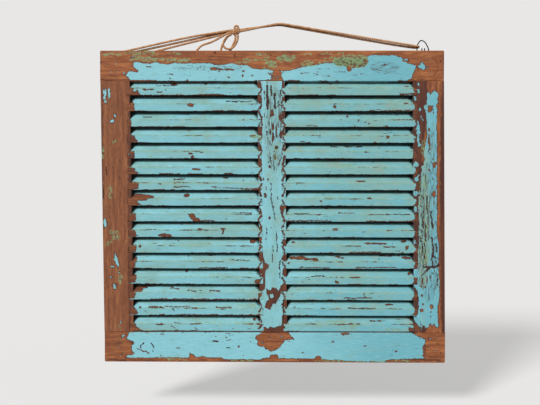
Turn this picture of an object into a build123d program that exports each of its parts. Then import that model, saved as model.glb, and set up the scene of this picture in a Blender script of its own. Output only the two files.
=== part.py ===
from build123d import *
from math import atan2, cos, pi, radians, sin, tan
import os

# An old louvred shutter panel: a jointed frame with two bays of fixed slats, hung by twine from two wire loops.
# X runs to the right, Y to the back and Z up. The origin is the middle of the bottom edge, at mid thickness.

# Frame
WIDTH = 768.0
HEIGHT = 700.0
THICKNESS = 35.0
TOP_RAIL = 68.0
BOTTOM_RAIL = 67.0
LEFT_STILE = 66.0
CENTRE_STILE = 61.0
RIGHT_STILE = 69.0
RACK = 8.0  # how far the top of the old frame has leaned to the left
CORNER_WEAR = 3.0  # rounding of the frame's four outer corners
EDGE_WEAR = 1.2  # rounding of the frame's long edges

# Tenons on the stiles, and the nails through them
OUTER_TENON_WIDTH = 40.0
CENTRE_TENON_WIDTH = 36.0
TENON_THICKNESS = 12.0
TENON_LENGTH = 56.0
TENON_FIT = 0.2
TENON_END_GAP = 2.0
NAIL_SHANK = 2.2
NAIL_LENGTH = 25.0
NAIL_HEAD = 3.4
NAIL_HEAD_THICKNESS = 1.0
NAIL_FIT = 0.1

# Slats
SLAT_COUNT = 16
SLAT_THICKNESS = 12.0
SLAT_ANGLE = 45.0  # the slats rise towards the back
SLAT_REAR_SETBACK = 3.0
SLAT_WEAR = 0.8
SILL_GAP = 2.5  # under the nose of the lowest slat
HEAD_GAP = 15.5  # over the nose of the top slat
HEAD_FIT = 0.3  # the top slat's back edge is cut to pass under the rail
HOUSING_DEPTH = 8.0
HOUSING_FIT = 0.2

# Wire hangers on the back, each held by a screw and a washer
WIRE = 2.4
WIRE_FIT = 0.05
HANGER_FROM_END = 41.0  # the right hanger, from the top rail's end
HANGER_DROP = 12.0
LEFT_HANGER_FROM_END = 20.0
LEFT_HANGER_DROP = 38.0
LOOP_STAND_OFF = 5.6  # the loop stands this far behind the back face, at the middle of its wire
SCREW_SHANK = 3.5
SCREW_LENGTH = 14.0
SCREW_HEAD = 8.0
SCREW_HEAD_HEIGHT = 2.6
SCREW_SLOT = 1.2
SCREW_SLOT_DEPTH = 1.1
SCREW_FIT = 0.1
WASHER = 13.0
WASHER_THICKNESS = 1.2

# Twine
TWINE = 4.0
TWINE_FIT = 0.3  # between the twine and the wire that it goes round
TWINE_SPACING = 4.8  # between the two layers of twine, front to back
APEX_X = 10.8  # where the twine hangs on its support
APEX_HEIGHT = 66.4  # over the top of the frame
APEX_ARC = 8.0  # radius of the twine's bend over its support
KNOT_X = -90.0
KNOT_HEIGHT = 48.5  # over the top of the frame
KNOT_LENGTH = 20.0
KNOT_DEPTH = 12.0
KNOT_THICKNESS = 14.0
KNOT_SLOPE = 11.0
KNOT_EDGE = 1.0
KNOT_PITCH = 4.4  # between the strands that leave the knot's left end
LEAD = 8.0  # a strand leaves the knot straight for this far
ARC_SHARE = 0.45  # of the shorter run beside a bend, taken by the bend's arc

# Derived sizes
FRONT = -THICKNESS / 2
BACK = THICKNESS / 2
OPENING_TOP = HEIGHT - TOP_RAIL
BAY = (WIDTH - LEFT_STILE - CENTRE_STILE - RIGHT_STILE) / 2
LEFT_FACE = -WIDTH / 2 + LEFT_STILE
CENTRE_LEFT_FACE = LEFT_FACE + BAY
CENTRE_RIGHT_FACE = CENTRE_LEFT_FACE + CENTRE_STILE
RIGHT_FACE = CENTRE_RIGHT_FACE + BAY
LEFT_CENTRE = -WIDTH / 2 + LEFT_STILE / 2
CENTRE_CENTRE = CENTRE_LEFT_FACE + CENTRE_STILE / 2
RIGHT_CENTRE = WIDTH / 2 - RIGHT_STILE / 2
SLOPE = tan(radians(SLAT_ANGLE))
NOSE = SLAT_THICKNESS / cos(radians(SLAT_ANGLE))
FIRST_NOSE = BOTTOM_RAIL + SILL_GAP
SLAT_PITCH = (OPENING_TOP - HEAD_GAP - NOSE - FIRST_NOSE) / (SLAT_COUNT - 1)

os.makedirs("parts", exist_ok=True)


def lean(z):
    """How far the racked frame has moved sideways at height z."""
    return -RACK * z / HEIGHT


def save(part, name):
    """Labels a finished piece and writes its file."""
    part.label = name
    export_step(part, f"parts/{name}.step")


# Slats and their housings

def nose_bottom(row):
    """Height of the lower edge of a slat's nose. Row 0 is the lowest."""
    return FIRST_NOSE + row * SLAT_PITCH


def slat_rear(row):
    """How far back a slat reaches: the top one is cut short to pass under the rail."""
    under_rail = FRONT + (OPENING_TOP - HEAD_FIT - nose_bottom(row) - NOSE) / SLOPE
    return min(BACK - SLAT_REAR_SETBACK, under_rail)


def slat_outline(row, grow):
    """A slat's section in Y and Z, made larger all round by grow."""
    low = nose_bottom(row) - grow / cos(radians(SLAT_ANGLE))
    high = nose_bottom(row) + NOSE + grow / cos(radians(SLAT_ANGLE))
    ends = [(y, SLOPE * (y - FRONT)) for y in (FRONT - grow, slat_rear(row) + grow)]
    (front, front_rise), (rear, rear_rise) = ends
    return [
        (front, low + front_rise),
        (rear, low + rear_rise),
        (rear, high + rear_rise),
        (front, high + front_rise),
    ]


def housing_end(face, side, row):
    """X of the bottom of a housing cut into a stile's face. side is 1 where the bay is to the right."""
    return face + lean(nose_bottom(row) + NOSE / 2) - side * HOUSING_DEPTH


def make_slat(bay, left_face, right_face, row):
    start = housing_end(left_face, 1, row) + HOUSING_FIT
    end = housing_end(right_face, -1, row) - HOUSING_FIT
    with BuildPart() as slat:
        with BuildSketch(Plane.YZ.offset(start)):
            with BuildLine():
                Polyline(*slat_outline(row, 0), close=True)
            make_face()
        extrude(amount=end - start)
        long_edges = slat.edges().filter_by(Axis.X).group_by(Axis.Y)
        fillet(long_edges[0] + long_edges[-1], radius=SLAT_WEAR)
    save(slat.part, f"slat_{bay}_{SLAT_COUNT - row:02d}")


# Stiles, housed for the slats and tenoned into the rails

def make_stile(name, centre, width, tenon_width, faces):
    """faces lists the stile's faces that hold slats, each with its side: 1 where the bay is to the right."""
    left, right = centre - width / 2, centre + width / 2
    with BuildPart() as stile:
        with BuildSketch(Plane.XZ.offset(-FRONT)):
            with BuildLine():
                Polyline(
                    (left + lean(BOTTOM_RAIL), BOTTOM_RAIL),
                    (right + lean(BOTTOM_RAIL), BOTTOM_RAIL),
                    (right + lean(OPENING_TOP), OPENING_TOP),
                    (left + lean(OPENING_TOP), OPENING_TOP),
                    close=True,
                )
            make_face()
        extrude(amount=-THICKNESS)
        upright = stile.edges().filter_by(lambda edge: edge.length > OPENING_TOP - BOTTOM_RAIL)
        fillet(upright, radius=EDGE_WEAR)
        for level, length in ((OPENING_TOP, TENON_LENGTH), (BOTTOM_RAIL, -TENON_LENGTH)):
            with BuildSketch(Plane.XY.offset(level)):
                with Locations((centre + lean(level), 0)):
                    Rectangle(tenon_width, TENON_THICKNESS)
            extrude(amount=length)
        for face, side in faces:
            for row in range(SLAT_COUNT):
                with BuildSketch(Plane.YZ.offset(housing_end(face, side, row))):
                    with BuildLine():
                        Polyline(*slat_outline(row, HOUSING_FIT), close=True)
                    make_face()
                extrude(amount=side * (HOUSING_DEPTH + RACK), mode=Mode.SUBTRACT)
        with BuildSketch(Plane.XZ.offset(-FRONT)):
            with Locations(*nail_places(centre)):
                Circle(NAIL_SHANK / 2 + NAIL_FIT)
        extrude(amount=-NAIL_LENGTH - NAIL_FIT, mode=Mode.SUBTRACT)
    save(stile.part, name)


# Nails: for each joint, how far right of the stile's middle and how far in from the rail's outer edge

TOP_NAILS = {
    LEFT_CENTRE: [(1.7, 29.0), (-8.5, 47.7), (4.8, 47.7)],
    RIGHT_CENTRE: [(0.9, 18.2), (2.7, 48.3)],
}
BOTTOM_NAILS = {
    LEFT_CENTRE: [(2.8, 50.2), (-0.5, 33.4), (10.8, 20.4), (2.6, 14.5)],
    CENTRE_CENTRE: [(-7.7, 54.2), (11.2, 61.5)],
    RIGHT_CENTRE: [(-0.6, 54.1), (-2.7, 35.0), (12.7, 26.5), (15.4, 55.0)],
}


def nail_places(centre):
    """Places of the nails that hold one stile, on the front face."""
    top = [(centre + lean(OPENING_TOP) + x, HEIGHT - z) for x, z in TOP_NAILS.get(centre, [])]
    bottom = [(centre + lean(BOTTOM_RAIL) + x, z) for x, z in BOTTOM_NAILS.get(centre, [])]
    return top + bottom


def make_nails(places):
    """The nails, each with its flat head level with the front face."""
    with BuildPart() as nails:
        for diameter, length in ((NAIL_HEAD, NAIL_HEAD_THICKNESS), (NAIL_SHANK, NAIL_LENGTH)):
            with BuildSketch(Plane.XZ.offset(-FRONT)):
                with Locations(*places):
                    Circle(diameter / 2)
            extrude(amount=-length)
    save(nails.part, "joint_nails")


# Rails, which run the full width

STILES = [
    (LEFT_CENTRE, OUTER_TENON_WIDTH),
    (CENTRE_CENTRE, CENTRE_TENON_WIDTH),
    (RIGHT_CENTRE, OUTER_TENON_WIDTH),
]


def make_rail(name, low, high, shoulder, nails, screws):
    """shoulder is the rail's edge that the stiles stand against; screws lists the holes in its back."""
    middle = lean((low + high) / 2)
    into_rail = 1 if shoulder == low else -1
    with BuildPart() as rail:
        with BuildSketch(Plane.XZ.offset(-FRONT)):
            with Locations((middle, (low + high) / 2)):
                Rectangle(WIDTH, high - low)
        extrude(amount=-THICKNESS)
        outer = rail.edges().filter_by(Axis.Y).group_by(Axis.Z)[-1 if into_rail == 1 else 0]
        fillet(outer, radius=CORNER_WEAR)
        fillet(rail.edges().filter_by(Axis.X), radius=EDGE_WEAR)
        with BuildSketch(Plane.XY.offset(shoulder)):
            for centre, tenon_width in STILES:
                with Locations((centre + lean(shoulder), 0)):
                    Rectangle(tenon_width + 2 * TENON_FIT, TENON_THICKNESS + 2 * TENON_FIT)
        extrude(amount=into_rail * (TENON_LENGTH + TENON_END_GAP), mode=Mode.SUBTRACT)
        nail_steps = ((NAIL_HEAD, NAIL_HEAD_THICKNESS), (NAIL_SHANK, NAIL_LENGTH + NAIL_FIT))
        for diameter, length in nail_steps:
            with BuildSketch(Plane.XZ.offset(-FRONT)):
                with Locations(*nails):
                    Circle(diameter / 2 + NAIL_FIT)
            extrude(amount=-length, mode=Mode.SUBTRACT)
        if screws:
            with BuildSketch(Plane.XZ.offset(-BACK)):
                with Locations(*screws):
                    Circle(SCREW_SHANK / 2 + SCREW_FIT)
            extrude(amount=SCREW_LENGTH + SCREW_FIT, mode=Mode.SUBTRACT)
    save(rail.part, name)


# Wire hangers

TOP_RAIL_LEAN = lean(HEIGHT - TOP_RAIL / 2)
RIGHT_HANGER = (WIDTH / 2 + TOP_RAIL_LEAN - HANGER_FROM_END, HEIGHT - HANGER_DROP)
LEFT_HANGER = (-WIDTH / 2 + TOP_RAIL_LEAN + LEFT_HANGER_FROM_END, HEIGHT - LEFT_HANGER_DROP)
HANGERS = [LEFT_HANGER, RIGHT_HANGER]
LOOP_SIDE = 13.3  # half the loop's width, at the side that the twine pulls
LOOP_SHOULDER = 30.0  # over the screw, where that side starts to slant in
LOOP_TOP = 41.5  # over the screw
LOOP_TOP_SIDE = 5.0  # the top stands to that side of the screw
SHOULDER_ANGLE = atan2(LOOP_TOP - LOOP_SHOULDER, LOOP_SIDE - LOOP_TOP_SIDE)
CLAMPED = BACK + WIRE / 2 + WIRE_FIT  # Y of the wire under the washer
LOOP_Y = BACK + LOOP_STAND_OFF
WIRE_FROM_SCREW = SCREW_SHANK / 2 + WIRE / 2 + WIRE_FIT


def hanger_route(screw, pull):
    """The wire's route: up past the screw at both ends, with the loop between. pull is -1 if it leans left."""
    shape = [
        (WIRE_FROM_SCREW, 22.0, CLAMPED),
        (WIRE_FROM_SCREW, -9.0, CLAMPED),
        (8.0, -14.5, CLAMPED + 1.0),
        (LOOP_SIDE, -8.0, LOOP_Y),
        (LOOP_SIDE, LOOP_SHOULDER, LOOP_Y),
        (LOOP_TOP_SIDE, LOOP_TOP, LOOP_Y),
        (-4.5, 37.0, LOOP_Y),
        (-LOOP_SIDE - 0.5, 20.0, LOOP_Y),
        (-LOOP_SIDE - 0.5, -8.0, LOOP_Y),
        (-8.2, -14.5, CLAMPED + 1.0),
        (-WIRE_FROM_SCREW, -9.0, CLAMPED),
        (-WIRE_FROM_SCREW, 22.0, CLAMPED),
    ]
    return [Vector(screw[0] + pull * x, y, screw[1] + z) for x, z, y in shape]


def corner_radii(points, tight):
    """For each corner of a route, the largest radius up to tight's value, or the largest its runs allow."""
    radii = []
    for before, corner, after in zip(points, points[1:], points[2:]):
        turn = radians((corner - before).get_angle(after - corner))
        shorter = min((corner - before).length, (after - corner).length)
        largest = ARC_SHARE * shorter / tan(turn / 2)
        radii.append(min(largest, tight.get(tuple(corner), largest)))
    return radii


def make_tube(name, points, diameter, tight={}):
    """tight gives a radius for each point of the route where the tube bends round something small."""
    radii = corner_radii(points, tight)
    with BuildPart() as tube:
        with BuildLine():
            route = FilletPolyline(*points, radius=radii)
        with BuildSketch(Plane(origin=route @ 0, z_dir=route % 0)):
            Circle(diameter / 2)
        sweep(path=route)
    expected = route.length * pi * (diameter / 2) ** 2
    print(
        f"{name}: length {route.length:.0f} mm, volume {tube.part.volume / expected:.4f} of its section"
        f" times its length, smallest radius {min(radii):.1f} mm"
    )
    save(tube.part, name)


def make_washers():
    with BuildPart() as washers:
        with BuildSketch(Plane.XZ.offset(-BACK - WIRE - 2 * WIRE_FIT)):
            with Locations(*HANGERS):
                Circle(WASHER / 2)
                Circle(SCREW_SHANK / 2 + SCREW_FIT, mode=Mode.SUBTRACT)
        extrude(amount=-WASHER_THICKNESS)
    save(washers.part, "hanger_washers")


def make_screws():
    under_head = BACK + WIRE + 2 * WIRE_FIT + WASHER_THICKNESS
    with BuildPart() as screws:
        with BuildSketch(Plane.XZ.offset(-under_head)):
            with Locations(*HANGERS):
                Circle(SCREW_HEAD / 2)
        extrude(amount=-SCREW_HEAD_HEIGHT)
        rims = screws.edges().filter_by(GeomType.CIRCLE).group_by(Axis.Y)[-1]
        fillet(rims, radius=SCREW_HEAD_HEIGHT * 0.6)
        with BuildSketch(Plane.XZ.offset(-under_head)):
            with Locations(*HANGERS):
                Circle(SCREW_SHANK / 2)
        extrude(amount=SCREW_LENGTH - (under_head - BACK) + WIRE)
        with BuildSketch(Plane.XZ.offset(-under_head - SCREW_HEAD_HEIGHT)):
            with Locations(*HANGERS):
                Rectangle(SCREW_SLOT, SCREW_HEAD)
        extrude(amount=SCREW_SLOT_DEPTH, mode=Mode.SUBTRACT)
    save(screws.part, "hanger_screws")


# Twine: its strands lie in two layers, one before and one behind the loops' wire

FRONT_LAYER = LOOP_Y - TWINE_SPACING / 2
BACK_LAYER = LOOP_Y + TWINE_SPACING / 2
ROUND_WIRE = WIRE / 2 + TWINE_FIT + TWINE / 2  # from the wire's middle to the twine's
ALONG = Vector(cos(radians(KNOT_SLOPE)), 0, sin(radians(KNOT_SLOPE)))
ACROSS = Vector(-sin(radians(KNOT_SLOPE)), 0, cos(radians(KNOT_SLOPE)))
KNOT = Vector(KNOT_X, LOOP_Y, HEIGHT + KNOT_HEIGHT)


def knot_end(side, layer, level):
    """The first two points of a strand that leaves the knot's left end (side -1) or right end (side 1)."""
    start = KNOT + ALONG * (side * KNOT_LENGTH / 2) + ACROSS * level
    start = Vector(start.X, layer, start.Z)
    return [start, start + ALONG * (side * LEAD)]


def knot_bottom(along):
    """The first two points of a strand that leaves the knot's underside."""
    start = KNOT + ALONG * along - ACROSS * (KNOT_THICKNESS / 2)
    return [start, start - ACROSS * LEAD]


def over_rail(x, y, height):
    """A point of a route, with its height over the top of the frame."""
    return Vector(x, y, HEIGHT + height)


def round_wire(wire_x, side, height, fall, slant=pi / 2):
    """From before a loop's wire to behind it: from 8 mm on its near side (-side) round its far side."""
    near, far = wire_x - side * 8, wire_x + side * ROUND_WIRE / sin(slant)
    return [
        over_rail(near, LOOP_Y - ROUND_WIRE, height + fall * 0.5),
        over_rail(far, LOOP_Y - ROUND_WIRE, height + fall * 0.25),
        over_rail(far, LOOP_Y + ROUND_WIRE, height - fall * 0.25),
        over_rail(near, LOOP_Y + ROUND_WIRE, height - fall * 0.5),
    ]


def make_knot():
    frame = Plane(origin=KNOT, x_dir=ALONG, z_dir=(0, -1, 0))
    with BuildPart() as knot:
        with BuildSketch(frame.offset(-KNOT_DEPTH / 2)):
            Rectangle(KNOT_LENGTH, KNOT_THICKNESS)
        extrude(amount=KNOT_DEPTH)
        fillet(knot.edges(), radius=KNOT_EDGE)
    save(knot.part, "twine_knot")


def make_twine():
    right_leg = RIGHT_HANGER[0] - LOOP_SIDE
    left_leg = LEFT_HANGER[0] + LOOP_SIDE
    left_shoulder = LEFT_HANGER[0] + (LOOP_SIDE + LOOP_TOP_SIDE) / 2
    shoulder_height = (LOOP_SHOULDER + LOOP_TOP) / 2 - LEFT_HANGER_DROP
    front_apex = over_rail(APEX_X, FRONT_LAYER, APEX_HEIGHT)
    back_apex = over_rail(APEX_X, BACK_LAYER, APEX_HEIGHT - 1.0)
    make_tube(
        "twine_right_pair",
        [
            *knot_end(1, FRONT_LAYER, -KNOT_PITCH / 2),
            front_apex,
            *round_wire(right_leg, 1, 13.4, 5.0),
            over_rail(235.0, BACK_LAYER + 0.5, 20.0),
            back_apex,
            *reversed(knot_end(1, BACK_LAYER, KNOT_PITCH / 2)),
        ],
        TWINE,
        {tuple(front_apex): APEX_ARC, tuple(back_apex): APEX_ARC},
    )
    make_tube(
        "twine_left_pair",
        [
            *knot_end(-1, FRONT_LAYER, KNOT_PITCH),
            *round_wire(left_shoulder, -1, shoulder_height, 5.0, SHOULDER_ANGLE),
            *reversed(knot_end(-1, BACK_LAYER, KNOT_PITCH)),
        ],
        TWINE,
    )
    make_tube(
        "twine_left_single",
        [
            *knot_end(-1, BACK_LAYER, 0),
            *reversed(round_wire(left_leg, -1, -14.0, 2.0)),
            over_rail(left_leg + 20.0, LOOP_Y - ROUND_WIRE, -24.0),
            over_rail(left_leg + 34.0, LOOP_Y - ROUND_WIRE, -36.0),
        ],
        TWINE,
    )
    make_tube(
        "twine_tail",
        [
            *knot_end(-1, FRONT_LAYER, 0),
            over_rail(-129.0, FRONT_LAYER, 32.0),
            over_rail(-150.0, FRONT_LAYER, 21.8),
            over_rail(-165.0, FRONT_LAYER, 18.5),
            over_rail(-177.0, FRONT_LAYER, 8.0),
            over_rail(-184.0, FRONT_LAYER, -4.0),
        ],
        TWINE,
    )
    make_tube(
        "twine_bow",
        [
            *knot_end(-1, FRONT_LAYER, -KNOT_PITCH),
            over_rail(-117.0, FRONT_LAYER, 27.0),
            over_rail(-119.5, FRONT_LAYER, 17.0),
            over_rail(-113.0, FRONT_LAYER, 9.5),
            over_rail(-103.5, FRONT_LAYER, 8.0),
            over_rail(-94.5, FRONT_LAYER, 12.5),
            over_rail(-88.0, FRONT_LAYER + 0.6, 22.5),
            *reversed(knot_bottom(3.0)),
        ],
        TWINE,
    )
    make_tube(
        "twine_end_left",
        [
            *knot_end(-1, BACK_LAYER, -KNOT_PITCH),
            over_rail(-119.0, BACK_LAYER, 22.0),
            over_rail(-123.8, BACK_LAYER, 8.5),
            over_rail(-125.0, BACK_LAYER, -4.0),
        ],
        TWINE,
    )
    make_tube(
        "twine_end_right",
        [
            *knot_bottom(-2.5),
            over_rail(-96.0, LOOP_Y + 2.0, 18.0),
            over_rail(-102.5, BACK_LAYER, 6.5),
            over_rail(-106.0, BACK_LAYER, -5.0),
        ],
        TWINE,
    )


make_stile("left_stile", LEFT_CENTRE, LEFT_STILE, OUTER_TENON_WIDTH, [(LEFT_FACE, 1)])
make_stile(
    "centre_stile",
    CENTRE_CENTRE,
    CENTRE_STILE,
    CENTRE_TENON_WIDTH,
    [(CENTRE_LEFT_FACE, -1), (CENTRE_RIGHT_FACE, 1)],
)
make_stile("right_stile", RIGHT_CENTRE, RIGHT_STILE, OUTER_TENON_WIDTH, [(RIGHT_FACE, -1)])

all_nails = nail_places(LEFT_CENTRE) + nail_places(CENTRE_CENTRE) + nail_places(RIGHT_CENTRE)
top_nails = [place for place in all_nails if place[1] > OPENING_TOP]
bottom_nails = [place for place in all_nails if place[1] < BOTTOM_RAIL]
make_rail("top_rail", OPENING_TOP, HEIGHT, OPENING_TOP, top_nails, HANGERS)
make_rail("bottom_rail", 0, BOTTOM_RAIL, BOTTOM_RAIL, bottom_nails, [])
make_nails(all_nails)

for slat_row in range(SLAT_COUNT):
    make_slat("left", LEFT_FACE, CENTRE_LEFT_FACE, slat_row)
    make_slat("right", CENTRE_RIGHT_FACE, RIGHT_FACE, slat_row)

make_tube("hanger_wire_left", hanger_route(LEFT_HANGER, 1), WIRE)
make_tube("hanger_wire_right", hanger_route(RIGHT_HANGER, -1), WIRE)
make_washers()
make_screws()
make_knot()
make_twine()
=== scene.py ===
"""Dresses an old louvred shutter panel: flaking paint on timber, rusty nails, wire hangers and jute twine."""

import itertools
import logging
import math
from dataclasses import dataclass
from enum import Enum
from typing import Any, Sequence

import bmesh
import bpy
import numpy as np
from mathutils import Matrix, Vector


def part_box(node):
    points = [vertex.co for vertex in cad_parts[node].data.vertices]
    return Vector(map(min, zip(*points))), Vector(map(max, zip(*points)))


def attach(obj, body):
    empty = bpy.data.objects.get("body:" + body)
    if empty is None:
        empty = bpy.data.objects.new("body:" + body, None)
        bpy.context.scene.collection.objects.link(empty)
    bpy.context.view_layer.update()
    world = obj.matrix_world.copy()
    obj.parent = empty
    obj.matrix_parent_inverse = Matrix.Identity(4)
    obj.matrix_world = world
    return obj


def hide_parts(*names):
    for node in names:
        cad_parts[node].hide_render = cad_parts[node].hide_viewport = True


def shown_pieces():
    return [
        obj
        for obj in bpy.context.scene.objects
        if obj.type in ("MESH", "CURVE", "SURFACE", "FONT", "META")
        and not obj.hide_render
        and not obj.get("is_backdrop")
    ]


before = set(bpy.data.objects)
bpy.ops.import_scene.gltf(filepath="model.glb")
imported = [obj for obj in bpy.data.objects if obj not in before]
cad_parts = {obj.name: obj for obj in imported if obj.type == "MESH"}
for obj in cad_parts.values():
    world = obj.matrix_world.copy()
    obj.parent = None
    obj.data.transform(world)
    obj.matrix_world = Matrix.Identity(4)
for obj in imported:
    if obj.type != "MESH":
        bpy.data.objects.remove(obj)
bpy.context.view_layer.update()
log = logging.getLogger("shutter")

Colour = tuple[float, float, float, float]
Pair = tuple[float, float]

MM = 0.001
SEED = 7  # of the twine's stray fibres

# The panel's planes, from the frame
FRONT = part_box("top_rail")[0].y
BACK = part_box("top_rail")[1].y
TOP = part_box("top_rail")[1].z

# Places of marks are read off the reference picture, which is 540 pixels wide and 405 high
PICTURE_WIDTH = 540
PICTURE_HEIGHT = 405
MM_PER_PIXEL = 2.245
SENSOR_WIDTH = 36.0
NEAR = 4.0  # pixels, past a timber's points, within which marks still count
FAR = 6.0  # mm, the furthest that a distance to a mark's edge is told

# Whole numbers that mix a cell's place into one that looks random
CELL_FACTORS = (73856093, 19349663, 83492791)
SEED_FACTOR = 40503
SCRAMBLES = (1274126177, 2246822519)
MOST = 0xFFFFFFFF

SMOOTH_BELOW = math.radians(38)  # between two faces, for an edge to be shaded smoothly


def tone(red: float, green: float, blue: float) -> Colour:
    """Turns a colour that is written as it looks on a screen into Blender's linear one.

    Args:
        red: from 0 to 255.
        green: the same.
        blue: the same.

    Returns:
        The linear colour.
    """
    def linear(part: float) -> float:
        """One part of the colour, without the screen's curve."""
        part = part / 255
        return part / 12.92 if part <= 0.04045 else ((part + 0.055) / 1.055) ** 2.4

    return (linear(red), linear(green), linear(blue), 1.0)


def add_object(name: str, data: bpy.types.ID) -> bpy.types.Object:
    """Makes an object and puts it into the scene.

    Args:
        name: its name.
        data: what it shows.

    Returns:
        The object.
    """
    made = bpy.data.objects.new(name, data)
    bpy.context.scene.collection.objects.link(made)
    return made


def smooth(mesh: bpy.types.Mesh) -> None:
    """Shades all of a mesh's faces smoothly."""
    mesh.polygons.foreach_set("use_smooth", [True] * len(mesh.polygons))


def join(into: bpy.types.Mesh, others: Sequence[bpy.types.Mesh]) -> None:
    """Adds meshes to another, in their order, and removes them.

    Args:
        into: the mesh that they are added to.
        others: the meshes.
    """
    both = bmesh.new()
    both.from_mesh(into)
    for mesh in others:
        both.from_mesh(mesh)
        bpy.data.meshes.remove(mesh)
    both.to_mesh(into)
    both.free()


def add_spline(curve: bpy.types.Curve, kind: str, route: Sequence[Vector]) -> bpy.types.Spline:
    """Adds a spline to a curve.

    Args:
        curve: the curve.
        kind: the spline's type.
        route: its points, in metres.

    Returns:
        The spline.
    """
    spline = curve.splines.new(kind)
    spline.points.add(len(route) - 1)
    for point, place in zip(spline.points, route):
        point.co = (*place, 1.0)
    return spline


def take_mesh(curve: bpy.types.Curve) -> bpy.types.Mesh:
    """Turns a curve into a mesh.

    Args:
        curve: the curve, which is removed.

    Returns:
        The mesh.
    """
    carrier = bpy.data.objects.new(curve.name, curve)
    mesh = bpy.data.meshes.new_from_object(carrier)
    bpy.data.objects.remove(carrier)
    bpy.data.curves.remove(curve)
    return mesh


def add_piece(
    node: str, ending: str, mesh: bpy.types.Mesh, material: bpy.types.Material
) -> bpy.types.Object:
    """Makes the piece that stands for a CAD node.

    Args:
        node: the CAD node.
        ending: what the piece's name has after the node's.
        mesh: its shape.
        material: its looks.

    Returns:
        The piece.
    """
    mesh.name = f"{node}_{ending}"
    mesh.materials.clear()
    mesh.materials.append(material)
    smooth(mesh)
    piece = add_object(mesh.name, mesh)
    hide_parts(node)
    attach(piece, "root")
    log.info("%s: %d faces", piece.name, len(mesh.polygons))
    return piece


@dataclass(frozen=True)
class Viewpoint:
    """The place that the panel is seen from, and the lens.

    Attributes:
        place: where the lens is, in metres.
        yaw: turn to the left, in degrees.
        pitch: tilt upwards, in degrees.
        roll: lean, in degrees.
        focal: focal length, in pixels of the picture.
    """

    place: tuple[float, float, float] = (0.0129, -2.0175, 0.4304)
    yaw: float = 0.682
    pitch: float = -1.992
    roll: float = -0.075
    focal: float = 892.0

    def turn(self) -> Matrix:
        """Works out how the camera is turned.

        Returns:
            The turn from directions seen from the lens (right, ahead, up) into the frame's.
        """
        yaw = Matrix.Rotation(math.radians(self.yaw), 3, "Z")
        pitch = Matrix.Rotation(math.radians(self.pitch), 3, "X")
        roll = Matrix.Rotation(math.radians(self.roll), 3, "Y")
        return yaw @ pitch @ roll

    def pixels(self, points: np.ndarray) -> np.ndarray:
        """Where points of the frame are seen in the picture.

        Args:
            points: places in metres, one a row.

        Returns:
            Pixels across and down, one pair a row.
        """
        seen = (points - np.array(self.place)) @ np.array(self.turn())
        across = PICTURE_WIDTH / 2 + self.focal * seen[:, 0] / seen[:, 1]
        down = PICTURE_HEIGHT / 2 - self.focal * seen[:, 2] / seen[:, 1]
        return np.stack([across, down], axis=1)

    def make_camera(self) -> None:
        """Makes the scene's camera."""
        data = bpy.data.cameras.new("view")
        data.sensor_width = SENSOR_WIDTH
        data.lens = self.focal / PICTURE_WIDTH * SENSOR_WIDTH
        camera = add_object("view", data)
        turn = self.turn() @ Matrix.Rotation(math.radians(90), 3, "X")
        camera.matrix_world = Matrix.Translation(self.place) @ turn.to_4x4()
        bpy.context.scene.camera = camera


# Noise on points, for the pieces' wear

def lattice(cells: np.ndarray, seed: int) -> np.ndarray:
    """A steady value from 0 to 1 for each whole-number cell.

    Args:
        cells: whole numbers, three a row.
        seed: tells one pattern from another.

    Returns:
        One value a row.
    """
    mixed = np.bitwise_xor.reduce(cells * np.array(CELL_FACTORS), axis=1) ^ seed * SEED_FACTOR
    mixed = ((mixed ^ (mixed >> 13)) * SCRAMBLES[0]) & MOST
    mixed = ((mixed ^ (mixed >> 15)) * SCRAMBLES[1]) & MOST
    return (mixed ^ (mixed >> 16)) / MOST


def noise(points: np.ndarray, size: Sequence[float], seed: int) -> np.ndarray:
    """Smooth noise from -1 to 1.

    Args:
        points: places in metres, one a row.
        size: how long the noise's lumps are along X, Y and Z, in mm.
        seed: tells one pattern from another.

    Returns:
        One value a row.
    """
    scaled = points / (np.array(size) * MM)
    low = np.floor(scaled).astype(np.int64)
    part = scaled - low
    part = part * part * (3 - 2 * part)
    total = np.zeros(len(points))
    for corner in itertools.product((0, 1), repeat=3):
        weight = np.prod(np.where(np.array(corner) == 1, part, 1 - part), axis=1)
        total += weight * lattice(low + np.array(corner), seed)
    return total * 2 - 1


def ease(value: np.ndarray, start: float, end: float) -> np.ndarray:
    """0 below start, 1 over end, and a smooth step between."""
    part = np.clip((value - start) / (end - start), 0, 1)
    return part * part * (3 - 2 * part)


# Marks: the shapes of paint, bare wood and cracks, as seen from the front

@dataclass(frozen=True)
class Patch:
    """An oval mark, by its left, top, right and bottom pixels."""

    left: float
    top: float
    right: float
    bottom: float

    def span(self) -> np.ndarray:
        """Points that enclose it, one a row."""
        return np.array([(self.left, self.top), (self.right, self.bottom)])

    def distance(self, seen: np.ndarray) -> np.ndarray:
        """Measures how far places are from its edge.

        Args:
            seen: the places' pixels across and down, one pair a row.

        Returns:
            The distances in pixels, below 0 inside.
        """
        radii = np.array([self.right - self.left, self.bottom - self.top]) / 2
        middle = np.array([self.left + self.right, self.top + self.bottom]) / 2
        scaled = (seen - middle) / radii
        reach = np.linalg.norm(scaled, axis=1)
        slope = np.linalg.norm(scaled / radii, axis=1)
        return reach * (reach - 1) / np.maximum(slope, 1e-6)


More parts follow.
